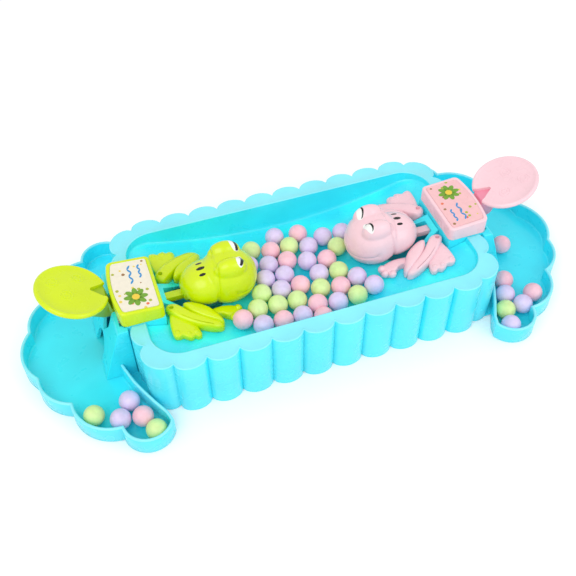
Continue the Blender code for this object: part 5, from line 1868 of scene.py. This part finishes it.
class FROGGAME_OT_limbs(bpy.types.Operator):
    """Models arm, leg and webbed foot of each side, lying on the dished floor"""

    bl_idname = "frog_game.limbs"
    bl_label = "Limbs"

    def execute(self, context):
        parts = [
            cushion("foot", FOOT_PLAN, 0.0042, 0.0018),
            cushion("shin", SHIN_PLAN, 0.0068, 0.0034),
            cushion("thigh", THIGH_PLAN, 0.0080, 0.0042),
            cushion("arm", ARM_PLAN, 0.0050, 0.0024),
        ]
        for u, v in ((0.0852, 0.0312), (0.0792, 0.0326), (0.0748, 0.0318)):
            parts.append(ball_piece("toe", (u, v, 0.0033), (0.0017, 0.0017, 0.0014), 24))
        for u, v in ((0.0462, 0.0182), (0.0466, 0.0224), (0.0506, 0.0246)):
            parts.append(ball_piece("finger", (u, v, 0.0030), (0.0024, 0.0024, 0.0025), 24))
        ankle = rod_piece("ankle", (0.0846, 0.0140, 0.0066), 0.0014, 0.0050, steps=24)
        line = ((0.0838, 0.0152), (0.0800, 0.0206), (0.0745, 0.0248), (0.0690, 0.0278), (0.0640, 0.0298))
        groove = [(u - 0.00020, v + 0.00030) for u, v in line]
        groove += [(u + 0.00020, v - 0.00030) for u, v in reversed(line)]
        carve(parts[1], [ankle, plate_piece("groove", groove, 0.0056, 0.0100)])
        limb = joined(parts, "limb")
        for vertex in limb.data.vertices:
            vertex.co.z += floor_z(vertex.co.x) + FIT_GAP
        smooth(limb, 50.0)
        take(limb)
        bpy.ops.object.duplicate()
        other = bpy.context.active_object
        other.name = "other_limb"
        for vertex in other.data.vertices:
            vertex.co.y = -vertex.co.y
        take(other)
        bpy.ops.object.mode_set(mode="EDIT")
        bpy.ops.mesh.select_all(action="SELECT")
        bpy.ops.mesh.flip_normals()
        bpy.ops.object.mode_set(mode="OBJECT")
        for letter, piece in (("a", limb), ("b", other)):
            name = "frog_limb_skin_" + letter
            for tag, done in for_both_ends(piece, name).items():
                dress(done, end_plastic(tag), "base", [tag + "_frog_limb_" + letter])
        return {"FINISHED"}


# Marbles


def marble_piece(name, centre, radius):
    segments = sizes().marble_segments
    bpy.ops.mesh.primitive_uv_sphere_add(
        segments=segments, ring_count=segments // 2, radius=radius, location=centre
    )
    marble = bpy.context.active_object
    marble.name = name
    bpy.ops.transform.rotate(value=centre[0] * 90.0, orient_axis="X")
    settle(marble)
    bpy.ops.mesh.customdata_custom_splitnormals_clear()
    return smooth(marble, 80.0)


class FROGGAME_OT_marbles(bpy.types.Operator):
    """Lays the pastel marbles in the basin and in the two trays"""

    bl_idname = "frog_game.marbles"
    bl_label = "Marbles"

    def execute(self, context):
        for name in sorted(SLOT_OF):
            if "marble" not in name:
                continue
            low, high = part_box(name)
            marble = marble_piece(name + "_pearl", (low + high) / 2.0, (high.z - low.z) / 2.0)
            colour = SLOT_OF[name].replace("marble_", "")
            dress(marble, marble_plastic(colour), "base", [name])
        for index, (colour, x, y) in enumerate(MORE_MARBLES):
            spot = (x, y, floor_z(x) + FIT_GAP + 0.006)
            marble = marble_piece("loose_pearl_%02d" % (index + 1), Vector(spot), 0.006)
            dress(marble, marble_plastic(colour), "base", [])
        return {"FINISHED"}


class FROGGAME_OT_fittings(bpy.types.Operator):
    """Gives the chutes, pins and screws that stay from the part their finish"""

    bl_idname = "frog_game.fittings"
    bl_label = "Fittings"

    def execute(self, context):
        for name, obj in frame["nodes"].items():
            if obj.hide_render:
                continue
            finish = bright_steel() if SLOT_OF[name] == "steel" else blue_plastic()
            obj.data.materials.clear()
            obj.data.materials.append(finish)
        return {"FINISHED"}


# Stage


class FROGGAME_OT_stage(bpy.types.Operator):
    """Lays the pale floor, sets the soft light and places the camera"""

    bl_idname = "frog_game.stage"
    bl_label = "Stage"

    def execute(self, context):
        stage = context.scene.frog_game_stage
        bpy.ops.mesh.primitive_plane_add(size=6.0, location=(0.0, 0.0, -0.0002))
        floor = settle(bpy.context.active_object)
        floor.name = "studio_floor"
        made, tree, shader = blank_material("pale_floor")
        place = object_coordinates(tree)
        weave = node(tree, "ShaderNodeTexNoise", Vector=place, Scale=6.0, Detail=2.0)
        tone = two_tone(tree, weave.outputs["Fac"], (0.93, 0.93, 0.93, 1.0), (0.95, 0.95, 0.95, 1.0))
        tree.links.new(tone, shader.inputs["Base Color"])
        shader.inputs["Roughness"].default_value = 0.9
        shader.inputs["Specular IOR Level"].default_value = 0.0
        seen = tree.nodes.new("ShaderNodeLightPath")
        lift = node(tree, "ShaderNodeMath", {"operation": "MULTIPLY"})
        tree.links.new(seen.outputs["Is Camera Ray"], lift.inputs[0])
        lift.inputs[1].default_value = 0.12
        shader.inputs["Emission Color"].default_value = (1.0, 1.0, 1.0, 1.0)
        tree.links.new(lift.outputs["Value"], shader.inputs["Emission Strength"])
        floor.data.materials.append(made)

        world = bpy.data.worlds.new("soft_studio")
        context.scene.world = world
        world.use_nodes = True
        tree = world.node_tree
        tree.nodes.clear()
        output = tree.nodes.new("ShaderNodeOutputWorld")
        path = tree.nodes.new("ShaderNodeLightPath")
        sky = tree.nodes.new("ShaderNodeBackground")
        sky.inputs["Strength"].default_value = stage.sky
        sky.inputs["Color"].default_value = (1.0, 1.0, 1.0, 1.0)
        backdrop = tree.nodes.new("ShaderNodeBackground")
        backdrop.inputs["Color"].default_value = (1.0, 1.0, 1.0, 1.0)
        backdrop.inputs["Strength"].default_value = 1.0
        seen = node(tree, "ShaderNodeMath", {"operation": "MAXIMUM"})
        tree.links.new(path.outputs["Is Camera Ray"], seen.inputs[0])
        tree.links.new(path.outputs["Is Glossy Ray"], seen.inputs[1])
        mix = tree.nodes.new("ShaderNodeMixShader")
        tree.links.new(seen.outputs["Value"], mix.inputs["Fac"])
        tree.links.new(sky.outputs["Background"], mix.inputs[1])
        tree.links.new(backdrop.outputs["Background"], mix.inputs[2])
        tree.links.new(mix.outputs["Shader"], output.inputs["Surface"])

        for name, spot, size, power in (
            ("key_light", (-0.55, -0.60, 0.95), 0.9, stage.key),
            ("fill_light", (0.65, -0.75, 0.70), 0.8, stage.fill),
        ):
            bpy.ops.object.light_add(type="AREA", location=spot)
            lamp = bpy.context.active_object
            lamp.name = name
            lamp.data.shape = "DISK"
            lamp.data.size = size
            lamp.data.energy = power
            aim = Vector((0.0, 0.0, 0.02)) - Vector(spot)
            lamp.rotation_euler = aim.to_track_quat("-Z", "Y").to_euler()

        forward = Vector((0.2134, 0.6273, -0.7490)).normalized()
        right = forward.cross(Vector((0.0, 0.0, 1.0))).normalized()
        up = right.cross(forward)
        roll = math.radians(-0.68)
        right, up = (
            math.cos(roll) * right + math.sin(roll) * up,
            math.cos(roll) * up - math.sin(roll) * right,
        )
        bpy.ops.object.camera_add(location=(-0.1171, -0.3184, 0.3918))
        camera = bpy.context.active_object
        camera.name = "photo_camera"
        camera.data.lens = stage.lens
        camera.data.sensor_width = 36.0
        camera.data.clip_start = 0.01
        camera.rotation_euler = Matrix((right, up, -forward)).transposed().to_euler()
        context.scene.camera = camera
        context.scene.view_settings.view_transform = "Standard"
        return {"FINISHED"}


# Panel and registration


OPERATORS = (
    FROGGAME_OT_stage,
    FROGGAME_OT_basin,
    FROGGAME_OT_trays,
    FROGGAME_OT_housings,
    FROGGAME_OT_covers,
    FROGGAME_OT_levers,
    FROGGAME_OT_necks,
    FROGGAME_OT_springs,
    FROGGAME_OT_frogs,
    FROGGAME_OT_limbs,
    FROGGAME_OT_marbles,
    FROGGAME_OT_fittings,
)
GROUPS = (
    ("frog_game_colours", FrogGameColours),
    ("frog_game_sizes", FrogGameSizes),
    ("frog_game_stage", FrogGameStage),
)


class FROGGAME_PT_panel(bpy.types.Panel):
    """Lists the settings and the pieces"""

    bl_idname = "FROGGAME_PT_panel"
    bl_label = "Frog marble game"
    bl_space_type = "VIEW_3D"
    bl_region_type = "UI"
    bl_category = "Frog game"

    def draw(self, context):
        for name, group in GROUPS:
            box = self.layout.box()
            for key in group.__annotations__:
                box.prop(getattr(context.scene, name), key)
        for operator in OPERATORS:
            self.layout.operator(operator.bl_idname)


def register():
    for name, group in GROUPS:
        bpy.utils.register_class(group)
        setattr(bpy.types.Scene, name, PointerProperty(type=group))
    for operator in OPERATORS:
        bpy.utils.register_class(operator)
    bpy.utils.register_class(FROGGAME_PT_panel)


def unregister():
    bpy.utils.unregister_class(FROGGAME_PT_panel)
    for operator in reversed(OPERATORS):
        bpy.utils.unregister_class(operator)
    for name, group in reversed(GROUPS):
        delattr(bpy.types.Scene, name)
        bpy.utils.unregister_class(group)


def main():
    register()
    for operator in OPERATORS:
        group, name = operator.bl_idname.split(".")
        getattr(getattr(bpy.ops, group), name)()


if __name__ == "__main__":
    main()
